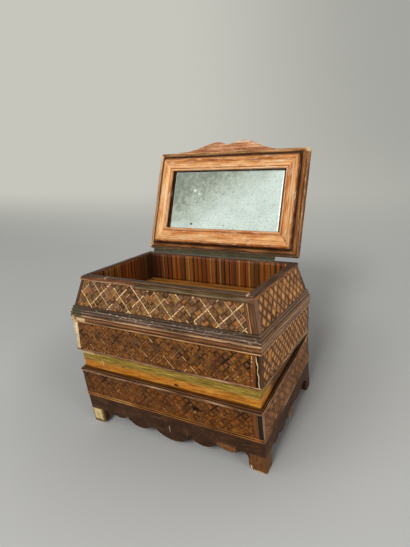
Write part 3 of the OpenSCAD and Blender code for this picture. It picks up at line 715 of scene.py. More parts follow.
reedLooks = {
    "waist": {
        "levels": (98, 114.4, waistLevels), "shade": reedShade, "wearAndGlintFrom": 0.62, "wearAndGlintShow": 0.8,
        "wearAndGlint": (240, 222, 202), "dark": (24, 17, 14), "rough": 0.24, "gloss": 0.45, "glints": 109.5,
    },
    "waistSide": {"levels": (98, 114.4, sideLevels), "glints": 0},
    "rim": {
        "tones": shades((44, 26, 18), (88, 54, 36), (124, 80, 54), (160, 112, 80)),
        "top": (142.7, shades((32, 22, 16), (68, 49, 37), (112, 86, 67))),
        "wearAndGlintFrom": 0.66, "wearAndGlintShow": 0.5, "wearAndGlint": (184, 146, 108), "dark": (24, 16, 13),
        "rough": 0.42, "gloss": 0.16,
    },
    "bead": {
        "tones": shades((46, 28, 19), (88, 57, 38), (146, 107, 77), (212, 176, 138)), "wearAndGlintFrom": 0.64,
        "wearAndGlintShow": 0.5, "wearAndGlint": (236, 210, 176), "dark": (30, 18, 13), "rough": 0.28, "gloss": 0.35,
    },
    "footBead": {
        "tones": shades((48, 28, 20), (104, 68, 46), (160, 116, 82), (212, 172, 132)), "wearAndGlintFrom": 0.66,
        "wearAndGlintShow": 0.5, "wearAndGlint": (236, 204, 164), "dark": (34, 20, 14), "rough": 0.3, "gloss": 0.35,
    },
    "stringing": {
        "tones": shades((88, 48, 18), (156, 98, 42), (208, 152, 84)), "wearAndGlintFrom": 0.68, "wearAndGlintShow": 0.5,
        "wearAndGlint": (224, 184, 128), "dark": (44, 26, 16), "rough": 0.3, "gloss": 0.35,
    },
    "lidEdge": {
        "tones": shades((66, 36, 18), (140, 88, 48), (196, 138, 86), (236, 190, 140)),
        "wearAndGlintFrom": 0.6, "wearAndGlintShow": 0.7, "wearAndGlint": (240, 206, 164), "dark": (28, 18, 13),
        "rough": 0.28, "gloss": 0.4,
    },
}
lidEdges = {
    "right": {"tones": shades((34, 19, 11), (86, 48, 24), (136, 84, 45), (184, 130, 84)),
              "marks": [(-54, 146, 2.4, 3.2, 1.5, cream, 0.9)]},
    "front": {"marks": [(87, 146, 2.4, 3.2, 1.5, cream, 0.8)]},
    "left": {"tones": shades((140, 92, 56), (208, 158, 116), (246, 212, 176))},
    # painted shade: the back edging, lowest when the lid is open, is near-black
    "back": {"tones": shades((24, 15, 10), (52, 32, 20), (88, 57, 38), (150, 108, 76)), "wearAndGlintFrom": 0.66},
}
waistMarks = {
    "front": [(-93, 109.4, 7.4, 4.6, 1.6, shades((38, 38, 28), (66, 64, 46), (92, 88, 62)), 0.95),
              (-88, 101.4, 5.6, 1.9, 2.4, cream, 1), (-97.5, 101, 2.4, 3.6, 1.4, cream, 0.9)],
    "left": [(62, 109, 5, 5, 2, shades((38, 38, 28), (66, 64, 46)), 0.9)],
}
olive = shades((40, 32, 22), (80, 64, 44), (110, 90, 64), (140, 116, 88))
rimRuns = {
    "front": [(31, 56, 139.2, 3.4, olive), (31, 56, 137, 0.3, umber), (31, 56, 141.6, 0.35, umber),
              (-58, 32, 139.3, 0.4, shades((110, 76, 54), (170, 128, 96), (206, 166, 130)))],
    "right": [(0, 99, 139.6, 0.7, shades((120, 80, 52), (190, 142, 104), (232, 190, 150)))],
}
rimMarks = {
    "front": [(-60, 143, 1.2, 0.8, 1.2, shades((150, 118, 90), (210, 180, 150)), 0.8),
              (84, 143, 1.2, 0.9, 1, shades((198, 140, 120), (236, 200, 180)), 0.9)],
}
lipLook = {
    "low": shades((104, 52, 8), (172, 96, 20), (218, 142, 48), (242, 186, 94)),
    "high": shades((64, 54, 12), (128, 104, 32), (170, 138, 56), (206, 178, 94)),
    "inside": shades((60, 40, 22), (94, 66, 40), (120, 88, 56)),
    "middle": 76.5, "foot": 67.6, "stain": (104, 66, 24), "dark": (34, 20, 12), "backShadow": {"right": -38},
    "marks": {"front": [(-88, 84.6, 9, 1.1, 1, cream, 0.9), (14, 70.8, 2.2, 1.2, 0.8, worm, 0.95),
                        (-45, 77.2, 2.6, 1.3, 1, worm, 0.55), (-20, 80.5, 12, 0.5, 1.6, umber, 0.35),
                        (46, 81.5, 16, 0.6, 1.8, umber, 0.35), (72, 72, 10, 0.5, 1.4, umber, 0.4),
                        (-70.5, 75, 0.35, 5, 1.6, cream, 0.7), (60, 79, 5, 0.25, 1, umber, 0.6)]},
}
stripeLook = {
    "pitch": 5.6,
    "broad": [(0, 130, 63, 13), (0.3, 111, 49, 12), (0.6, 141, 77, 17),
              (0.85, 96, 50, 14)],
    "narrow": [(0, 24, 14, 8), (0.4, 84, 70, 24), (0.66, 120, 92, 44),
               (0.84, 60, 30, 14)],
    "thin": [(0, 20, 12, 8), (0.4, 72, 58, 20), (0.62, 112, 48, 20),
             (0.84, 150, 116, 66)],
    "light": (255, 190, 120), "dark": (16, 9, 5),
    "shade": {"back": [(1, 82, 30, 0.85)], "left": [(-1, 52, 34, 0.75), (1, 52, 70, 0.3)]},
}
# painted highlights and shade across a rail, from its sight edge to its outer side, laid over its tones
railLightAndShade = [(0.0, 214, 182, 150), (0.1, 255, 240, 226), (0.17, 150, 108, 74),
            (0.24, 250, 226, 206), (0.5, 255, 255, 255), (0.68, 226, 196, 164),
            (0.78, 255, 250, 240), (0.9, 190, 150, 112), (0.96, 140, 104, 76),
            (1.0, 118, 86, 62)]
goldLooks = {
    "rail": {
        "run": 52, "strip": 3.4, "joint": 0.45, "scuffAndSheen": 0.58, "scuffAndSheenShow": 0.75, "rough": 0.26,
        "gloss": 0.45, "crack": 0.9, "dark": (92, 44, 18), "wearAndGlint": (255, 234, 206), "deepShade": (16, 11, 8),
        "tones": shades((144, 74, 31), (224, 147, 77), (253, 198, 130), (255, 238, 210)),
    },
    "crest": {
        "run": 24, "strip": 2.8, "joint": 0.5, "scuffAndSheen": 0.58, "scuffAndSheenShow": 0.55, "rough": 0.32, "gloss": 0.35,
        "crack": 0.9, "dark": (92, 48, 24), "wearAndGlint": (248, 204, 164),
        "tones": shades((112, 56, 32), (182, 112, 70), (218, 154, 110), (248, 204, 166)),
        # the first mark is a painted highlight along the right hump's top edge
        "marks": [(10, -66, 13, 1.3, 1.2, shades((212, 150, 116), (244, 204, 172), (252, 228, 204)), 0.75),
                  (-24, -62, 10, 1.6, 2, shades((96, 54, 30), (146, 92, 54)), 0.5)],
    },
    "floor": {
        "run": 20, "strip": 4.4, "joint": 0.55, "scuffAndSheen": 0.62, "scuffAndSheenShow": 0.4, "rough": 0.34, "gloss": 0.3,
        "crack": 0.5, "dark": (84, 42, 14), "wearAndGlint": (246, 202, 128),
        "tones": shades((86, 44, 12), (142, 84, 28), (178, 122, 48), (208, 158, 82)),
    },
    "board": {
        "run": 30, "strip": 4.2, "joint": 0.6, "scuffAndSheen": 0.66, "scuffAndSheenShow": 0.3, "rough": 0.36, "gloss": 0.25,
        "crack": 0.6, "dark": (24, 13, 8), "wearAndGlint": (140, 90, 54),
        "tones": shades((24, 12, 8), (46, 24, 14), (66, 38, 22), (92, 58, 36)),
        "lit": (81.8, 49.2), "litTones": shades((60, 30, 15), (128, 72, 36), (182, 116, 62), (220, 160, 104)),
    },
}
railMarks = {
    "right": [(40.5, -6.2, 0.7, 0.7, 1, worm, 1), (43.5, -3.4, 0.4, 0.4, 0.7, worm, 1),
              (38, -7.6, 0.3, 0.3, 0.5, worm, 1)],
    "back": [(-35, -7, 2.4, 0.16, 0.6, worm, 0.8), (-28, -9.4, 1.2, 0.12, 0.5, worm, 0.8)],
    "front": [(30, -6.5, 9, 0.14, 0.5, worm, 0.6), (58, -9, 5, 0.14, 0.5, worm, 0.6)],
}
apronLook = {
    "tones": shades((21, 11, 7), (44, 25, 14), (68, 41, 25), (100, 66, 43)),
    "wearAndGlint": (122, 86, 58), "toe": (176, 150, 112), "upper": (64, 36, 20),
    "marks": {
        "front": [
            (-91.5, 9.5, 8.2, 8.4, 3, shades((96, 70, 34), (150, 118, 66)), 1),
            (-91.5, 10, 5.2, 6.6, 2.6, shades((172, 138, 78), (222, 198, 142), (240, 226, 184)), 1),
            (-91.5, 8.6, 1.3, 3.4, 1.8, shades((150, 110, 52), (196, 156, 88)), 0.7),
            (91.5, 8, 9.5, 11, 2.6, shades((58, 32, 17), (102, 64, 36), (146, 100, 60)), 1),
            (83.4, 3, 0.7, 2.4, 1.2, cream, 1), (90, 0.8, 5, 0.4, 1, cream, 0.8),
            (60, 17.4, 9.5, 3.6, 3.4, shades((70, 40, 22), (120, 78, 46), (160, 112, 70)), 0.95),
            (0.5, 19, 0.35, 3.4, 1.8, shades((150, 132, 118), (214, 200, 184)), 0.85),
            (-12, 29, 4, 0.5, 1.2, shades((98, 70, 54), (130, 100, 80)), 0.6),
            # painted shade: a black patch right of the middle lobe, where the gap behind the apron shows dark
            (22, 14.5, 2.6, 3.4, 2.6, black, 0.75),
            (19.5, 19.5, 0.4, 3, 1.6, shades((96, 74, 60), (140, 116, 98)), 0.6),
        ],
        "right": [
            (-60, 8, 10, 11, 3, shades((62, 38, 22), (104, 70, 42), (136, 98, 62)), 1),
            (4, 13.5, 8.5, 4.6, 3.6, shades((78, 52, 36), (124, 90, 64), (160, 124, 92)), 0.85),
            (-1.5, 11, 2.2, 0.7, 1.4, cream, 0.8),
        ],
    },
}
woodLook = {"tones": shades((84, 58, 36), (124, 90, 58), (158, 122, 84))}
clothLook = {"thread": (0.62, 0.7), "tones": shades((38, 34, 16), (70, 62, 34), (98, 88, 54)),
             "wearAndGlint": (128, 116, 82)}
brassLook = {"tones": shades((58, 44, 26), (132, 104, 58), (186, 156, 98))}
mirrorLook = {
    "tones": [(0.1, 122, 131, 118), (0.45, 163, 171, 158), (0.85, 197, 210, 205)],
    "fox": (88, 97, 85), "glint": (208, 214, 207), "rough": 0.05, "foxing": 0.66,
    # the tone of the painted highlight round the plate's edge
    "edge": (222, 230, 220),
    "plate": {"halfW": 65.25, "halfD": 32.2, "middle": -1.2, "bevel": 0.9, "drop": 0.12, "thick": 1.8},
    "spots": [((-38, -26), (1.7, 1.3), (44, 50, 42)), ((-38, 12), (2.2, 1.9), (218, 224, 214)),
              ((-32, 8.5), (1.8, 1.4), (212, 218, 208)), ((-12, -24), (6, 3), (208, 216, 208))],
}
tornLook = {"tones": shades((150, 108, 62), (220, 190, 142), (246, 230, 196))}


# Wear of the shapes. A bite is a worn place: body, middle, half sizes and depth. A gap is a lost piece of
# straw: from and to along its side, from and to in height, and how far out what is left still stands.

wearLook = {
    "bites": [
        ("case", (-98.6, -65.6, 76), (5, 5, 16), 2.2), ("case", (-98.6, -65.6, 96), (4, 4, 10), 1.0),
        ("case", (-89, -57, 143), (5, 5, 3), 0.8), ("case", (88, -55, 143), (4, 4, 3), 0.8),
        ("base", (98.5, -65.5, 52), (3, 3, 12), 0.7), ("base", (-98.5, -65.5, 60), (3, 3, 9), 0.6),
        ("lid", (-81.5, -48.8, 139), (4, 4, 5), 0.9), ("lid", (81.5, -48.8, 139), (4, 4, 5), 0.9),
    ],
    "gaps": {
        "waist_reeds_front": [(-93, -81, 98.4, 104.6, -1.1), (-99, -95, 98.6, 105.4, -1.3),
                              (71, 74, 103.9, 106.6, -0.6)],
        "waist_reeds_right": [(38, 44, 98.4, 100.2, -1.2)],
        "rim_edge_front": [(81, 86.5, 141.4, 143.2, -10.9), (-62, -58, 142.2, 143.2, -10.6),
                           (-95, -25, 136.2, 138.8, -11.3)],
        "case_bead_front": [(-97, -88, 67, 71, -1.2), (88, 93, 67, 71, -1.3)],
        "base_bead_front": [(-80, -74, 65, 68, -1.4), (20, 24, 65, 68, -1.3)],
    },
    "corner": {"base": 2.2, "case": 1.0, "lid": 2.4},
}
# spacing of the points along a run: in its middle, on a run that has gaps, and near its mitres
spacing = {"middle": 3.0, "gaps": 0.8, "mitre": 0.5, "mitreReach": 1.5}
sideFrames = {
    "front": (Vector((0, -1, 0)), Vector((1, 0, 0))),
    "right": (Vector((1, 0, 0)), Vector((0, 1, 0))),
    "back": (Vector((0, 1, 0)), Vector((-1, 0, 0))),
    "left": (Vector((-1, 0, 0)), Vector((0, -1, 0))),
}
sides = list(sideFrames)


def chaos(*at):
    return noise.noise(Vector(at))


def bitten(body, p):
    for where, centre, reach, depth in wearLook["bites"]:
        away = Vector([(p[i] - centre[i]) / reach[i] for i in range(3)]).length
        if where == body and away < 1:
            inwards = Vector((-math.copysign(1, centre[0]), -math.copysign(1, centre[1]), 0))
            p = p + inwards * depth * (1 - away) * (0.55 + 0.9 * noise.noise(p * 0.55))
    return p


def rounded(q, r):
    # a square corner of half size r made round; q is the distance in from both its outer faces
    if r <= 0 or q[0] >= r or q[1] >= r:
        return q
    x, y = r - q[0], r - q[1]
    k = max(x, y) / math.hypot(x, y)
    return r - x * k, r - y * k


def makePiece(name, bm, material, body=None, sharp=None):
    # with a sharp angle, edges beyond it stay sharp; with a body, the piece rides on it
    for face in bm.faces:
        face.smooth = True
    if sharp:
        for edge in bm.edges:
            edge.smooth = len(edge.link_faces) == 2 and edge.calc_face_angle(0) < math.radians(sharp)
    mesh = bpy.data.meshes.new(name)
    bm.to_mesh(mesh)
    bm.free()
    mesh.materials.append(material)
    piece = bpy.data.objects.new(name, mesh)
    bpy.context.scene.collection.objects.link(piece)
    if body:
        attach(piece, body)
    return piece


def gridFaces(bm, rows, closed=False, maps=()):
    # faces between rows of points; each map is a layer and what gives its place from a row and a point
    size = len(rows[0])
    for i in range(len(rows) - 1):
        for j in range(size if closed else size - 1):
            corners = [(i, j), (i + 1, j), (i + 1, j + 1), (i, j + 1)]
            face = bm.faces.new([rows[a][b % size] for a, b in corners])
            for layer, spot in maps:
                for loop, (a, b) in zip(face.loops, corners):
                    loop[layer].uv = spot(a, b)


def thicken(piece, thick, offset=-1):
    solid = piece.modifiers.new("thick", "SOLIDIFY")
    solid.thickness = thick * mm
    solid.offset = offset
    graph = bpy.context.evaluated_depsgraph_get()
    mesh = bpy.data.meshes.new_from_object(piece.evaluated_get(graph))
    piece.modifiers.clear()
    piece.data = mesh


def divided(outline, fine):
    # a closed outline with its long edges divided; each point also holds its way round
    out = []
    way = 0
    for (x0, y0), (x1, y1) in zip(outline, outline[1:] + outline[:1]):
        length = math.hypot(x1 - x0, y1 - y0)
        parts = max(1, math.ceil(length / fine))
        for i in range(parts):
            k = i / parts
            out.append((x0 + (x1 - x0) * k, y0 + (y1 - y0) * k, way + length * k))
        way += length
    return out, way


def places(length, step, close):
    # shares of a length, near together close to both ends
    fine = [i * spacing["mitre"] for i in range(math.ceil(close / spacing["mitre"]))]
    middle = length - 2 * close
    count = max(1, round(middle / step))
    whole = (fine + [close + middle * i / count for i in range(count + 1)]
             + [length - v for v in reversed(fine)])
    return [v / length for v in whole]


def mitredRun(name, node, side, section, material, slot, body, half=("halfWidth", "halfDepth"), out=0,
              slopes=(1, 1), fine=3.0, wobble=0.0, seed=0, soft=0.0):
    # a section (offset outwards, height), anticlockwise from its outer foot, run between two mitres; fine is
    # the longest edge that stays undivided, and soft rounds the corner
    halfW, halfD = [casket[key] + out for key in half]
    outwards, along = sideFrames[side]
    near, far = (halfW, halfD) if side in ("right", "left") else (halfD, halfW)
    outline, whole = divided(section, fine)
    size = len(outline)
    gaps = wearLook["gaps"].get(name, [])
    outermost = max(o for o, z in section)
    shares = places(2 * far, spacing["gaps" if gaps else "middle"], soft + spacing["mitreReach"])
    bm = bmesh.new()
    straw = bm.loops.layers.uv.new("straw")
    profile = bm.loops.layers.uv.new("profile")
    rows, runs = [], []
    for i, share in enumerate(shares):
        row, run = [], []
        for o, z, _ in outline:
            low = -(far + o * slopes[0])
            s = low + (far + o * slopes[1] - low) * share
            o2, z2 = o, z
            # hand-laid straw is uneven, but nowhere prouder than the section, and its ends meet at the mitres
            if wobble and 0 < i < len(shares) - 1:
                o2 = min(o2 + wobble * chaos(s / 7, z / 3, seed), outermost)
                z2 += wobble * 0.7 * chaos(s / 9, z / 3, seed + 20)
            for s0, s1, z0, z1, stands in gaps:
                ragged = 1.6 * chaos(s * 0.7, z * 0.7, 3)
                if s0 < s + ragged < s1 and z0 < z + ragged * 0.4 < z1:
                    o2 = min(o2, stands + 0.5 * chaos(s, z, 8))
            nearEnd = min(far + outermost - s, far + outermost + s)
            u, v = rounded((nearEnd, outermost - o2), soft)
            s2 = math.copysign(abs(s) - (u - nearEnd), s)
            p = bitten(body, outwards * (near + outermost - v) + along * s2 + Vector((0, 0, z2)))
            row.append(bm.verts.new(place(body, *p)))
            run.append(s)
        rows.append(row)
        runs.append(run)
    maps = ((straw, lambda i, j: (runs[i][j % size], outline[j][2] if j < size else whole)),
            (profile, lambda i, j: outline[j % size][:2]))
    gridFaces(bm, rows, True, maps)
    for i, turn in ((0, 1), (-1, -1)):
        face = bm.faces.new(rows[i][::turn])
        for loop in face.loops:
            for layer, spot in maps:
                loop[layer].uv = spot(i, rows[i].index(loop.vert))
    piece = makePiece(name, bm, material, body, sharp=38)
    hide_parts(node)


def boxSection(outer, inner, low, high, ease=0.35, crown=0.0):
    # a board's section with eased outer arrises and a slightly crowned top
    top = [(outer + (inner - outer) * i / 6, high - crown * (i / 3 - 1) ** 2) for i in range(1, 7)]
    return [(outer - ease, low), (outer, low + ease), (outer, high - ease - crown),
            (outer - ease, high - crown), *top, (inner, low)]


def envelope(shapes, low, high, inner, step):
    # the outline of several beads and bands seen from outside, over the back
    count = round((high - low) / step)
    heights = [low + (high - low) * i / count for i in range(count + 1)]
    outside = [(max(shape(z) for shape in shapes), z) for z in heights]
    return outside + [(inner(high), high), (inner(low), low)]


def bead(centre, z, r):
    return lambda at: centre + math.sqrt(r * r - (at - z) ** 2) if abs(at - z) < r else -999


def flat(out, low, high):
    return lambda at: out if low <= at <= high else -999


def arc(centre, z, r, start, turn, count):
    # points round part of a circle, angles in half turns
    angles = [math.pi * (start + turn * i) for i in range(count)]
    return [(centre + r * math.cos(k), z + r * math.sin(k)) for k in angles]


def cantOut(z):
    return casket["caseOut"] - cantSlope * (z - casket["waist"])


# Walls in lattice, the lip boards and the well's linings

wallLook = {
    "baseCrown": 0.45, "lipEase": 0.6, "lipCorner": 0.8, "wobble": {"wall": 0.12, "lip": 0.15, "well": 0.08},
}


def addWalls():
    caseOut, waist, top = casket["caseOut"], casket["waist"], casket["rim"] - 1
    caseSection = boxSection(caseOut, caseOut - casket["wallT"], casket["caseFoot"], waist)
    cantSection = [(cantOut(waist), waist), (cantOut(top), top), (cantOut(top) - casket["cantT"], top),
                   (cantOut(waist) - casket["cantT"], waist)]
    for index, side in enumerate(sides):
        thick, other = casket["baseFrontT"], casket["baseSideT"]
        if side in ("right", "left"):
            thick, other = other, thick
        baseSection = boxSection(0, -thick, casket["apronTop"], casket["baseTop"],
                                 crown=wallLook["baseCrown"])
        slopes = (other / thick, other / thick)
        corner = wearLook["corner"]
        for part, body, section, fit in (
                ("base", "base", baseSection,
                 {"out": casket["baseOut"], "slopes": slopes, "soft": corner["base"]}),
                ("case", "case", caseSection, {"soft": corner["case"], "fine": 2}),
                ("cant", "case", cantSection, {})):
            seed = index + {"base": 0, "case": 10, "cant": 20}[part]
            cap = side.capitalize()
            finish = latticeFinish(f"{part}Lattice{cap}", latticeLooks[part + cap], seed + 10)
            mitredRun(f"{part}_wall_skin_{side}", f"{part}_wall_{side}", side, section, finish,
                      "straw_lattice", body, wobble=wallLook["wobble"]["wall"], seed=seed, **fit)


def addLips():
    section = boxSection(0, -casket["lipT"], casket["lipFoot"], casket["lipTop"], wallLook["lipEase"])
    for index, side in enumerate(sides):
        finish = lipFinish("lipStraw" + side.capitalize(), lipLook, side, 70 + index)
        mitredRun("lip_skin_" + side, "lip_" + side, side, section, finish, "straw_ochre", "base",
                  half=("lipHalfW", "lipHalfD"), wobble=wallLook["wobble"]["lip"], seed=70 + index,
                  soft=wallLook["lipCorner"])


def addWell():
    lining, low, high = -casket["liningT"], casket["wellFloor"], casket["rim"] - 1
    section = [(0, low), (0, high), (lining, high), (lining, low)]
    for index, side in enumerate(sides):
        finish = stripedFinish("wellStripes" + side.capitalize(), stripeLook, side, 80 + index)
        mitredRun("well_stripes_" + side, "well_lining_" + side, side, section, finish,
                  "straw_stripes", "case", out=casket["liningT"] - casket["rimIn"] - casket["rimWallT"],
                  wobble=wallLook["wobble"]["well"], seed=80 + index)


# Mouldings, edgings and beads. Reeds are heights above the waist and radii, and other beads an offset, a
# height or depth, and a radius. The rim's edging laps down over the cant, farther in front.

mouldingLook = {
    "low": 7, "high": 9.4, "reeds": [(2.7, 1.5), (5.6, 1.4), (8.2, 1.2)], "bead": (-1.6, -0.3, 1.6),
    "flatOut": 0.9, "flatLow": 4.8, "footBead": 1, "cover": 0.1, "inside": 0.02, "step": 0.25, "lidStep": 0.2,
    "rimLap": {"front": 6.6, "right": 3.0, "back": 3.0, "left": 3.0}, "rimOut": 0.8, "rimRise": 2,
    "rimBead": (-0.2, 1.6, 1.3), "rimStep": 0.3, "rimCorner": 0.6,
    "wobble": {"waist": 0.22, "rim": 0.15, "lid": 0.12, "bead": 0.1}, "fine": 9,
}
beads = [
    ("base_bead", "base_top_bead", "base", "baseOut", casket["baseTop"] - 1, 1),
    ("case_bead", "case_bottom_bead", "case", "caseOut", casket["caseFoot"] + 1, 1),
    ("base_string_low", "base_stringing", "base", "baseOut", casket["apronTop"] + 1, 0.6),
    ("base_string_high", "base_stringing", "base", "baseOut", casket["apronTop"] + 3.4, 0.6),
]


def waistSection():
    look, waist, caseOut = mouldingLook, casket["waist"], casket["caseOut"]
    low, high = waist - look["low"], waist + look["high"]

    def back(z):
        return min(cantOut(z), caseOut)

    out, up, r = look["bead"]
    shapes = [bead(cantOut(waist + up), waist + up, r) for up, r in look["reeds"]]
    shapes += [bead(out, waist + up, r), flat(caseOut + look["flatOut"], waist - look["flatLow"], waist),
               bead(caseOut, low + look["footBead"], look["footBead"]), lambda z: back(z) + look["cover"]]
    return envelope(shapes, low, high, lambda z: back(z) - look["inside"], look["step"])


def rimSection(side):
    top, look = casket["rim"], mouldingLook
    lap, step = look["rimLap"][side], look["rimStep"]
    out, down, r = look["rimBead"]
    roll = bead(cantOut(top - down) + out, top - down, r)
    outside = []
    for i in range(round(lap / step)):
        z = top - lap + i * step
        edge = cantOut(z) + min(look["rimOut"], (z - top + lap) * look["rimRise"])
        outside.append((max(edge, roll(z)), z))
    inner = -casket["rimIn"] - casket["rimWallT"]
    return outside + [(-casket["rimIn"] + 0.2, top), (inner + 0.3, top), (inner, top - 0.4), (inner, top - 1),
                      (cantOut(top - 1), top - 1)]


def lidSection():
    low, high = casket["lidFoot"], casket["lidFoot"] + casket["lidEdgeH"]
    r = casket["lidEdgeH"] / 6
    shapes = [bead(-r, low + k * r, r) for k in (1, 3, 5)] + [lambda z: -r]
    return envelope(shapes, low, high, lambda z: -casket["lidEdgeW"], mouldingLook["lidStep"])


def addMouldings():
    corner, wobble, fine = wearLook["corner"], mouldingLook["wobble"], mouldingLook["fine"]
    beadFinish = reedFinish("beadStraw", reedLooks["bead"], 60)
    footFinish = reedFinish("footBeadStraw", reedLooks["footBead"], 62)
    stringFinish = reedFinish("stringingStraw", reedLooks["stringing"], 65)
    for index, side in enumerate(sides):
        cap = side.capitalize()
        waistLook = {**reedLooks["waist"], "marks": waistMarks.get(side)}
        if side in ("right", "left"):
            waistLook.update(reedLooks["waistSide"])
        rimLook = {**reedLooks["rim"], "marks": rimMarks.get(side), "runs": rimRuns.get(side, [])}
        lidLook = {**reedLooks["lidEdge"], **lidEdges.get(side, {})}
        mitredRun("waist_reeds_" + side, "waist_moulding_" + side, side, waistSection(),
                  reedFinish("waistStraw" + cap, waistLook, 40 + index), "straw_moulding", "case",
                  wobble=wobble["waist"], seed=30 + index, fine=fine, soft=corner["case"])
        mitredRun("rim_edge_" + side, "rim_edging", side, rimSection(side),
                  reedFinish("rimStraw" + cap, rimLook, 50 + index), "straw_moulding", "case",
                  wobble=wobble["rim"], seed=40 + index, fine=fine, soft=mouldingLook["rimCorner"])
        mitredRun("lid_edge_" + side, "lid_edging_" + side, side, lidSection(),
                  reedFinish("lidEdgeStraw" + cap, lidLook, 55 + index), "straw_moulding", "lid",
                  half=("lidHalfW", "lidHalfD"), wobble=wobble["lid"], seed=50 + index, fine=fine,
                  soft=corner["lid"])
        for name, node, body, out, z, r in beads:
            dull = (body == "case") != (side == "right")
            finish = footFinish if dull else stringFinish if "string" in name else beadFinish
            mitredRun(f"{name}_{side}", node, side, arc(casket[out], z, r, -0.5, 1 / 8, 9), finish,
                      "straw_bead", body, wobble=wobble["bead"], seed=60 + index, fine=fine,
                      soft=corner[body] + r)


# The mirror's frame: radii and depths of its roll and sight bead, and points of its face, as distances out
# from the sight edge or in from the outer edge with depths

railShape = {
    "roll": 2.9, "rollDrop": 3.9, "sight": 1.2, "sightDrop": 4, "innerFace": [(2.6, 4.6), (4.5, 5.1)],
    "outerFace": [(6.2, 5.6), (4.6, 6)], "deep": 3.1, "wobble": 0.14, "fine": 1.4,
}


def addMirrorFrame():
    shape, board = railShape, casket["lidBoard"]
    rails = {"front": ("top", "topRail", "left", "right"), "right": ("right", "sideRail", "front", "back"),
             "back": ("bottom", "lowRail", "right", "left"), "left": ("left", "sideRail", "back", "front")}
    for index, side in enumerate(sides):
        name, key, *ends = rails[side]
        w = casket[key]
        section = [*arc(-shape["roll"], board - shape["rollDrop"], shape["roll"], -0.5, 1 / 12, 7),
                   (0, board), (-w, board),
                   *arc(-w + shape["sight"], board - shape["sightDrop"], shape["sight"], 1, 1 / 8, 8),
                   *[(-w + out, board - down) for out, down in shape["innerFace"]],
                   *[(-inwards, board - down) for inwards, down in shape["outerFace"]]]
        look = {**goldLooks["rail"], "across": (-w, 0, railLightAndShade), "marks": railMarks.get(side),
                "deep": board - shape["deep"]}
        mitredRun("rail_" + name, "mirror_rail_" + name, side, section,
                  goldFinish("railStraw" + name.capitalize(), look, 90 + index), "straw_gold", "lid",
                  half=("frameHalfW", "frameHalfD"), slopes=[casket[rails[end][1]] / w for end in ends],
                  wobble=shape["wobble"], seed=90 + index, fine=shape["fine"], soft=wearLook["corner"]["lid"])


def addMirror():
    # the plate, with a narrow bevel round its face
    box, board = mirrorLook["plate"], casket["lidBoard"]
    rings = []
    bm = bmesh.new()
    for inset, z in ((0, board + box["thick"]), (0, board + box["drop"]), (box["bevel"], board)):
        w, d = box["halfW"] - inset, box["halfD"] - inset
        rings.append([bm.verts.new(place("lid", x * w, box["middle"] + y * d, z))
                      for x, y in ((-1, -1), (1, -1), (1, 1), (-1, 1))])
    bm.faces.new(rings[0])
    bm.faces.new(rings[2][::-1])
    gridFaces(bm, rings, True)
    bmesh.ops.recalc_face_normals(bm, faces=bm.faces)
    piece = makePiece("mirror_plate", bm, mirrorFinish("oldMirror", mirrorLook), "lid", sharp=1)
    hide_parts("mirror_glass")


# The olive cloth strip, glued on the back rim and taut up to the lid: its ends and how finely it is divided

clothShape = {"left": -82.7, "right": 66, "across": 90, "steps": 12, "thick": 0.4, "wave": 0.22, "fray": 0.8}


def addHingeCloth():
    left, right, across, steps = [clothShape[k] for k in ("left", "right", "across", "steps")]
    rim = casket["rim"]
    y1 = casket["halfDepth"] - casket["rimIn"] - 0.3
    y0 = y1 - casket["rimWallT"] + 0.6
    lidEdge = raised.inverted() @ place("lid", 0, casket["lidHalfD"] - 0.4, casket["lidFoot"])
    top = (lidEdge.y / mm + middleY - 0.9, lidEdge.z / mm - 0.1)
    path = [(y0, rim + 0.25), (y0 + 2, rim + 0.3), (y1 - 1.4, rim + 0.3), (y1 - 0.4, rim + 0.5),
            (y1 + 0.1, rim + 1.2), top, (top[0] + 1.7, top[1] - 0.6)]
    lengths = [0]
    for here, there in zip(path, path[1:]):
        lengths.append(lengths[-1] + math.dist(here, there))
    bm = bmesh.new()
    straw = bm.loops.layers.uv.new("straw")
    rows = []
    for i in range(across + 1):
        x = left + (right - left) * i / across
        row = []
        for j in range(steps + 1):
            way = lengths[-1] * j / steps
            k = max(n for n in range(len(path) - 1) if lengths[n] <= way + 1e-9)
            f = (way - lengths[k]) / (lengths[k + 1] - lengths[k])
            y, z = [a + (b - a) * f for a, b in zip(path[k], path[k + 1])]
            wave = chaos(x / 9, way / 6, 2) * clothShape["wave"] * math.sin(math.pi * j / steps)
            fray = chaos(way * 1.7, i == across, 5) * clothShape["fray"] if i in (0, across) else 0
            row.append(bm.verts.new(place("case", x + fray, y - wave * 0.3, z + abs(wave))))
        rows.append(row)

    def mapped(a, b):
        return left + (right - left) * a / across, lengths[-1] * b / steps

    gridFaces(bm, rows, False, [(straw, mapped)])
    bmesh.ops.recalc_face_normals(bm, faces=bm.faces)
    cloth = makePiece("hinge_cloth", bm, clothFinish("oliveCloth", clothLook))
    thicken(cloth, clothShape["thick"], 0)
    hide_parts("lid_hinge_strip")
    place("case", 0, y1, rim + 0.6)
    place("case", 0, *top)
    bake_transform(cloth)


# Torn ends of straw that stand off the case's front: places along it, heights, and widths

splinters = {
    "ribbon": [(97.3, 69.5, 1.0), (96.6, 74, 0.7), (96.9, 79, 0.9), (95.7, 84, 0.8), (96.2, 88, 0.7),
               (94.9, 93, 0.9), (94.6, 97, 0.4)],
    "flake_low": [(-95.2, 70, 1.0), (-95.8, 76, 2.2), (-95.1, 82, 1.4), (-95.5, 86, 0.5)],
    "flake_high": [(-97.8, 86, 0.8), (-97.2, 91, 1.9), (-97.9, 96, 1.0)],
    "flake_waist": [(-92.5, 99.2, 0.6), (-88, 99.8, 1.6), (-83, 99.3, 0.7)],
}
splinterShape = {"thick": 0.3, "parts": 4, "clear": 0.12, "curl": 0.25, "curlVary": 0.3, "ragged": 0.3}


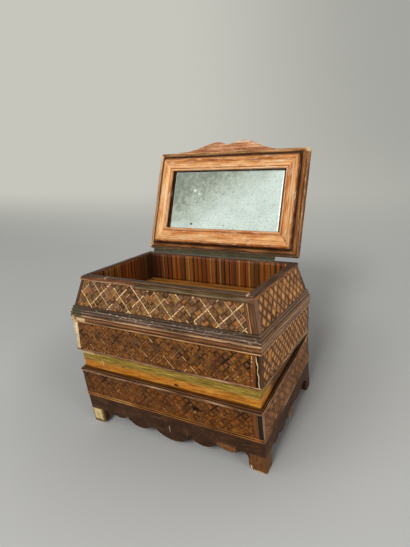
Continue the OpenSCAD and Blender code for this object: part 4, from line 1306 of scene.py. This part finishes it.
def addSplinters():
    shape, parts = splinterShape, splinterShape["parts"]
    for index, (name, path) in enumerate(splinters.items()):
        bm = bmesh.new()
        rows = []
        for n in range((len(path) - 1) * parts + 1):
            k = min(n // parts, len(path) - 2)
            s, z, w = [a + (b - a) * (n / parts - k) for a, b in zip(path[k], path[k + 1])]
            curl = shape["curl"] + shape["curlVary"] * math.sin(n * 1.3 + index)
            row = []
            for side, lift in ((-0.5, 0), (0, 1), (0.5, 0.15)):
                ragged = shape["ragged"] * chaos(n * 0.9, side * 3, index)
                y = -casket["halfDepth"] - casket["caseOut"] - shape["clear"] - curl * lift
                row.append(bm.verts.new(place("case", s + w * side + ragged, y, z)))
            rows.append(row)
        for a, b in zip(rows, rows[1:]):
            for i in range(2):
                bm.faces.new((a[i], a[i + 1], b[i + 1], b[i]))
        finish = tornFinish(f"tornStraw{index}", tornLook, index)
        piece = makePiece("torn_" + name, bm, finish, "case", sharp=38)
        thicken(piece, shape["thick"])


def paintCad():
    # finishes of the CAD's own parts
    wood = woodFinish("bareWood", woodLook, 110)
    brass = brassFinish("hingeBrass", brassLook)
    finishes = {}
    for side in sides:
        name = "apronStraw" + side.capitalize()
        finishes["apron_" + side] = apronFinish(name, apronLook, side, 100 + len(side))
    finishes.update({f"foot_block_{a}_{b}": wood for a in ("front", "back") for b in ("left", "right")})
    for joint, ends in (("case", ("base", "case")), ("lid", ("case", "lid"))):
        for part in ("pins", *[end + "_leaves" for end in ends]):
            finishes[f"{joint}_hinge_{part}"] = brass
    finishes["base_floor"] = wood
    for node, name, look, seed, body in (("well_floor", "wellFloorStraw", "floor", 120, "case"),
                                         ("lid_board", "lidBoardStraw", "board", 125, "lid"),
                                         ("lid_crest", "crestStraw", "crest", 130, "lid")):
        finishes[node] = goldFinish(name, goldLooks[look], seed, body)
    for node, finish in finishes.items():
        materials = frame["nodes"][node].data.materials
        materials.clear()
        materials.append(finish)


# Floor, backdrop and lights. Shapes and lamps are in metres, places in the floor's tone in millimetres. The
# floor holds a painted shadow round the casket, and far off the backdrop glows with painted light and shade.
# The soft box stands where the mirror looks.

stageLook = {
    "floor": (203, 203, 200), "cloud": (170, 174, 178), "near": (150, 150, 147), "left": (198, 198, 189),
    "right": (166, 166, 160), "far": (184, 184, 177), "air": (255, 253.65, 250.463), "world": 0.13,
    "reach": 7, "bend": 1.5, "bendR": 0.8, "height": 3,
    "paintedShadowAt": (-50, 60), "paintedShadowSize": 230, "paintedShadeAcross": (-500, 900), "farFrom": (4200, 6500),
    "behindY": (300, 950), "behindAway": (900, 2400),
    "lamps": {
        "softbox": ((-1.0, -1.5, 1.65), 3.0, 18, (0, 0.05, 0.2)),
        "key": ((0.1, -1.7, 1.7), 0.7, 23, (0, 0, 0.1)),
        "overhead": ((-0.35, 0.3, 2.0), 1.2, 4, (0, 0, 0.1)),
        "side": ((1.75, -0.6, 0.5), 0.9, 13, (0, 0, 0.1)),
    },
}


def addStage():
    look = stageLook
    reach, bend, r = look["reach"], look["bend"], look["bendR"]
    turns = [math.pi / 2 * i / 12 for i in range(1, 13)]
    profile = [(-reach, 0), (bend, 0), *[(bend + r * math.sin(k), r - r * math.cos(k)) for k in turns],
               (bend + r, look["height"])]
    bm = bmesh.new()
    gridFaces(bm, [[bm.verts.new((x, y, z)) for y, z in profile] for x in (-reach, reach)])
    m = Finish("paleFloor")
    x, y, z = m.objectPoint("base")
    cloud = m.noise(x / 300, y / 300, 0, 2)
    floor = m.mix(cloud * 0.06, look["floor"], look["cloud"])
    # painted shadow: the floor darkens round the casket
    shadowX, shadowY = look["paintedShadowAt"]
    near = m.length((x - shadowX) / look["paintedShadowSize"], (y - shadowY) / look["paintedShadowSize"])
    floor = m.mix(near.ramp(1.25, 0.55) * 0.45, floor, look["near"])
    # farther off, the camera and what mirrors or glass show it see the backdrop glow, with painted shade:
    # lighter to the left, darker to the right, and a set tone far off
    tone = m.mix((x + y * 0.4).ramp(*look["paintedShadeAcross"]), look["left"], look["right"])
    away = m.length(x, y, z * 2.2)
    tone = m.mix(away.ramp(*look["farFrom"]), tone, look["far"])
    behind = y.ramp(*look["behindY"]).most(away.ramp(*look["behindAway"])) * m.seen()
    seenGlow = m.node("Emission", None, {"Color": tone, "Strength": 1.0})
    mixed = m.node("MixShader", None, {0: behind, 1: m.shader(floor, 0.8), 2: seenGlow})
    m.node("OutputMaterial", None, {"Surface": mixed})
    makePiece("floor", bm, m.material)


def addLights():
    look = stageLook
    for name, (at, size, power, target) in look["lamps"].items():
        data = bpy.data.lights.new(name, "AREA")
        data.shape = "DISK"
        data.size = size
        data.energy = power
        lamp = bpy.data.objects.new(name, data)
        lamp.location = at
        lamp.rotation_euler = (Vector(target) - Vector(at)).to_track_quat("-Z", "Y").to_euler()
        bpy.context.scene.collection.objects.link(lamp)
    world = bpy.data.worlds.new("studio")
    bpy.context.scene.world = world
    m = Finish("air", world)
    lit = m.node("Background", None, {"Color": look["air"], "Strength": look["world"]})
    seenGlow = m.node("Background", None, {"Color": look["far"], "Strength": 1.0})
    m.node("OutputWorld", None, {"Surface": m.node("MixShader", None, {0: m.seen(), 1: lit, 2: seenGlow})})
    bpy.context.scene.view_settings.view_transform = "Standard"


addCamera()
addStage()
addLights()
print("stage ready")
addWalls()
print("walls done")
addMouldings()
addLips()
addWell()
print("mouldings, lips and well done")
addMirrorFrame()
addMirror()
addHingeCloth()
addSplinters()
paintCad()
print("lid done")
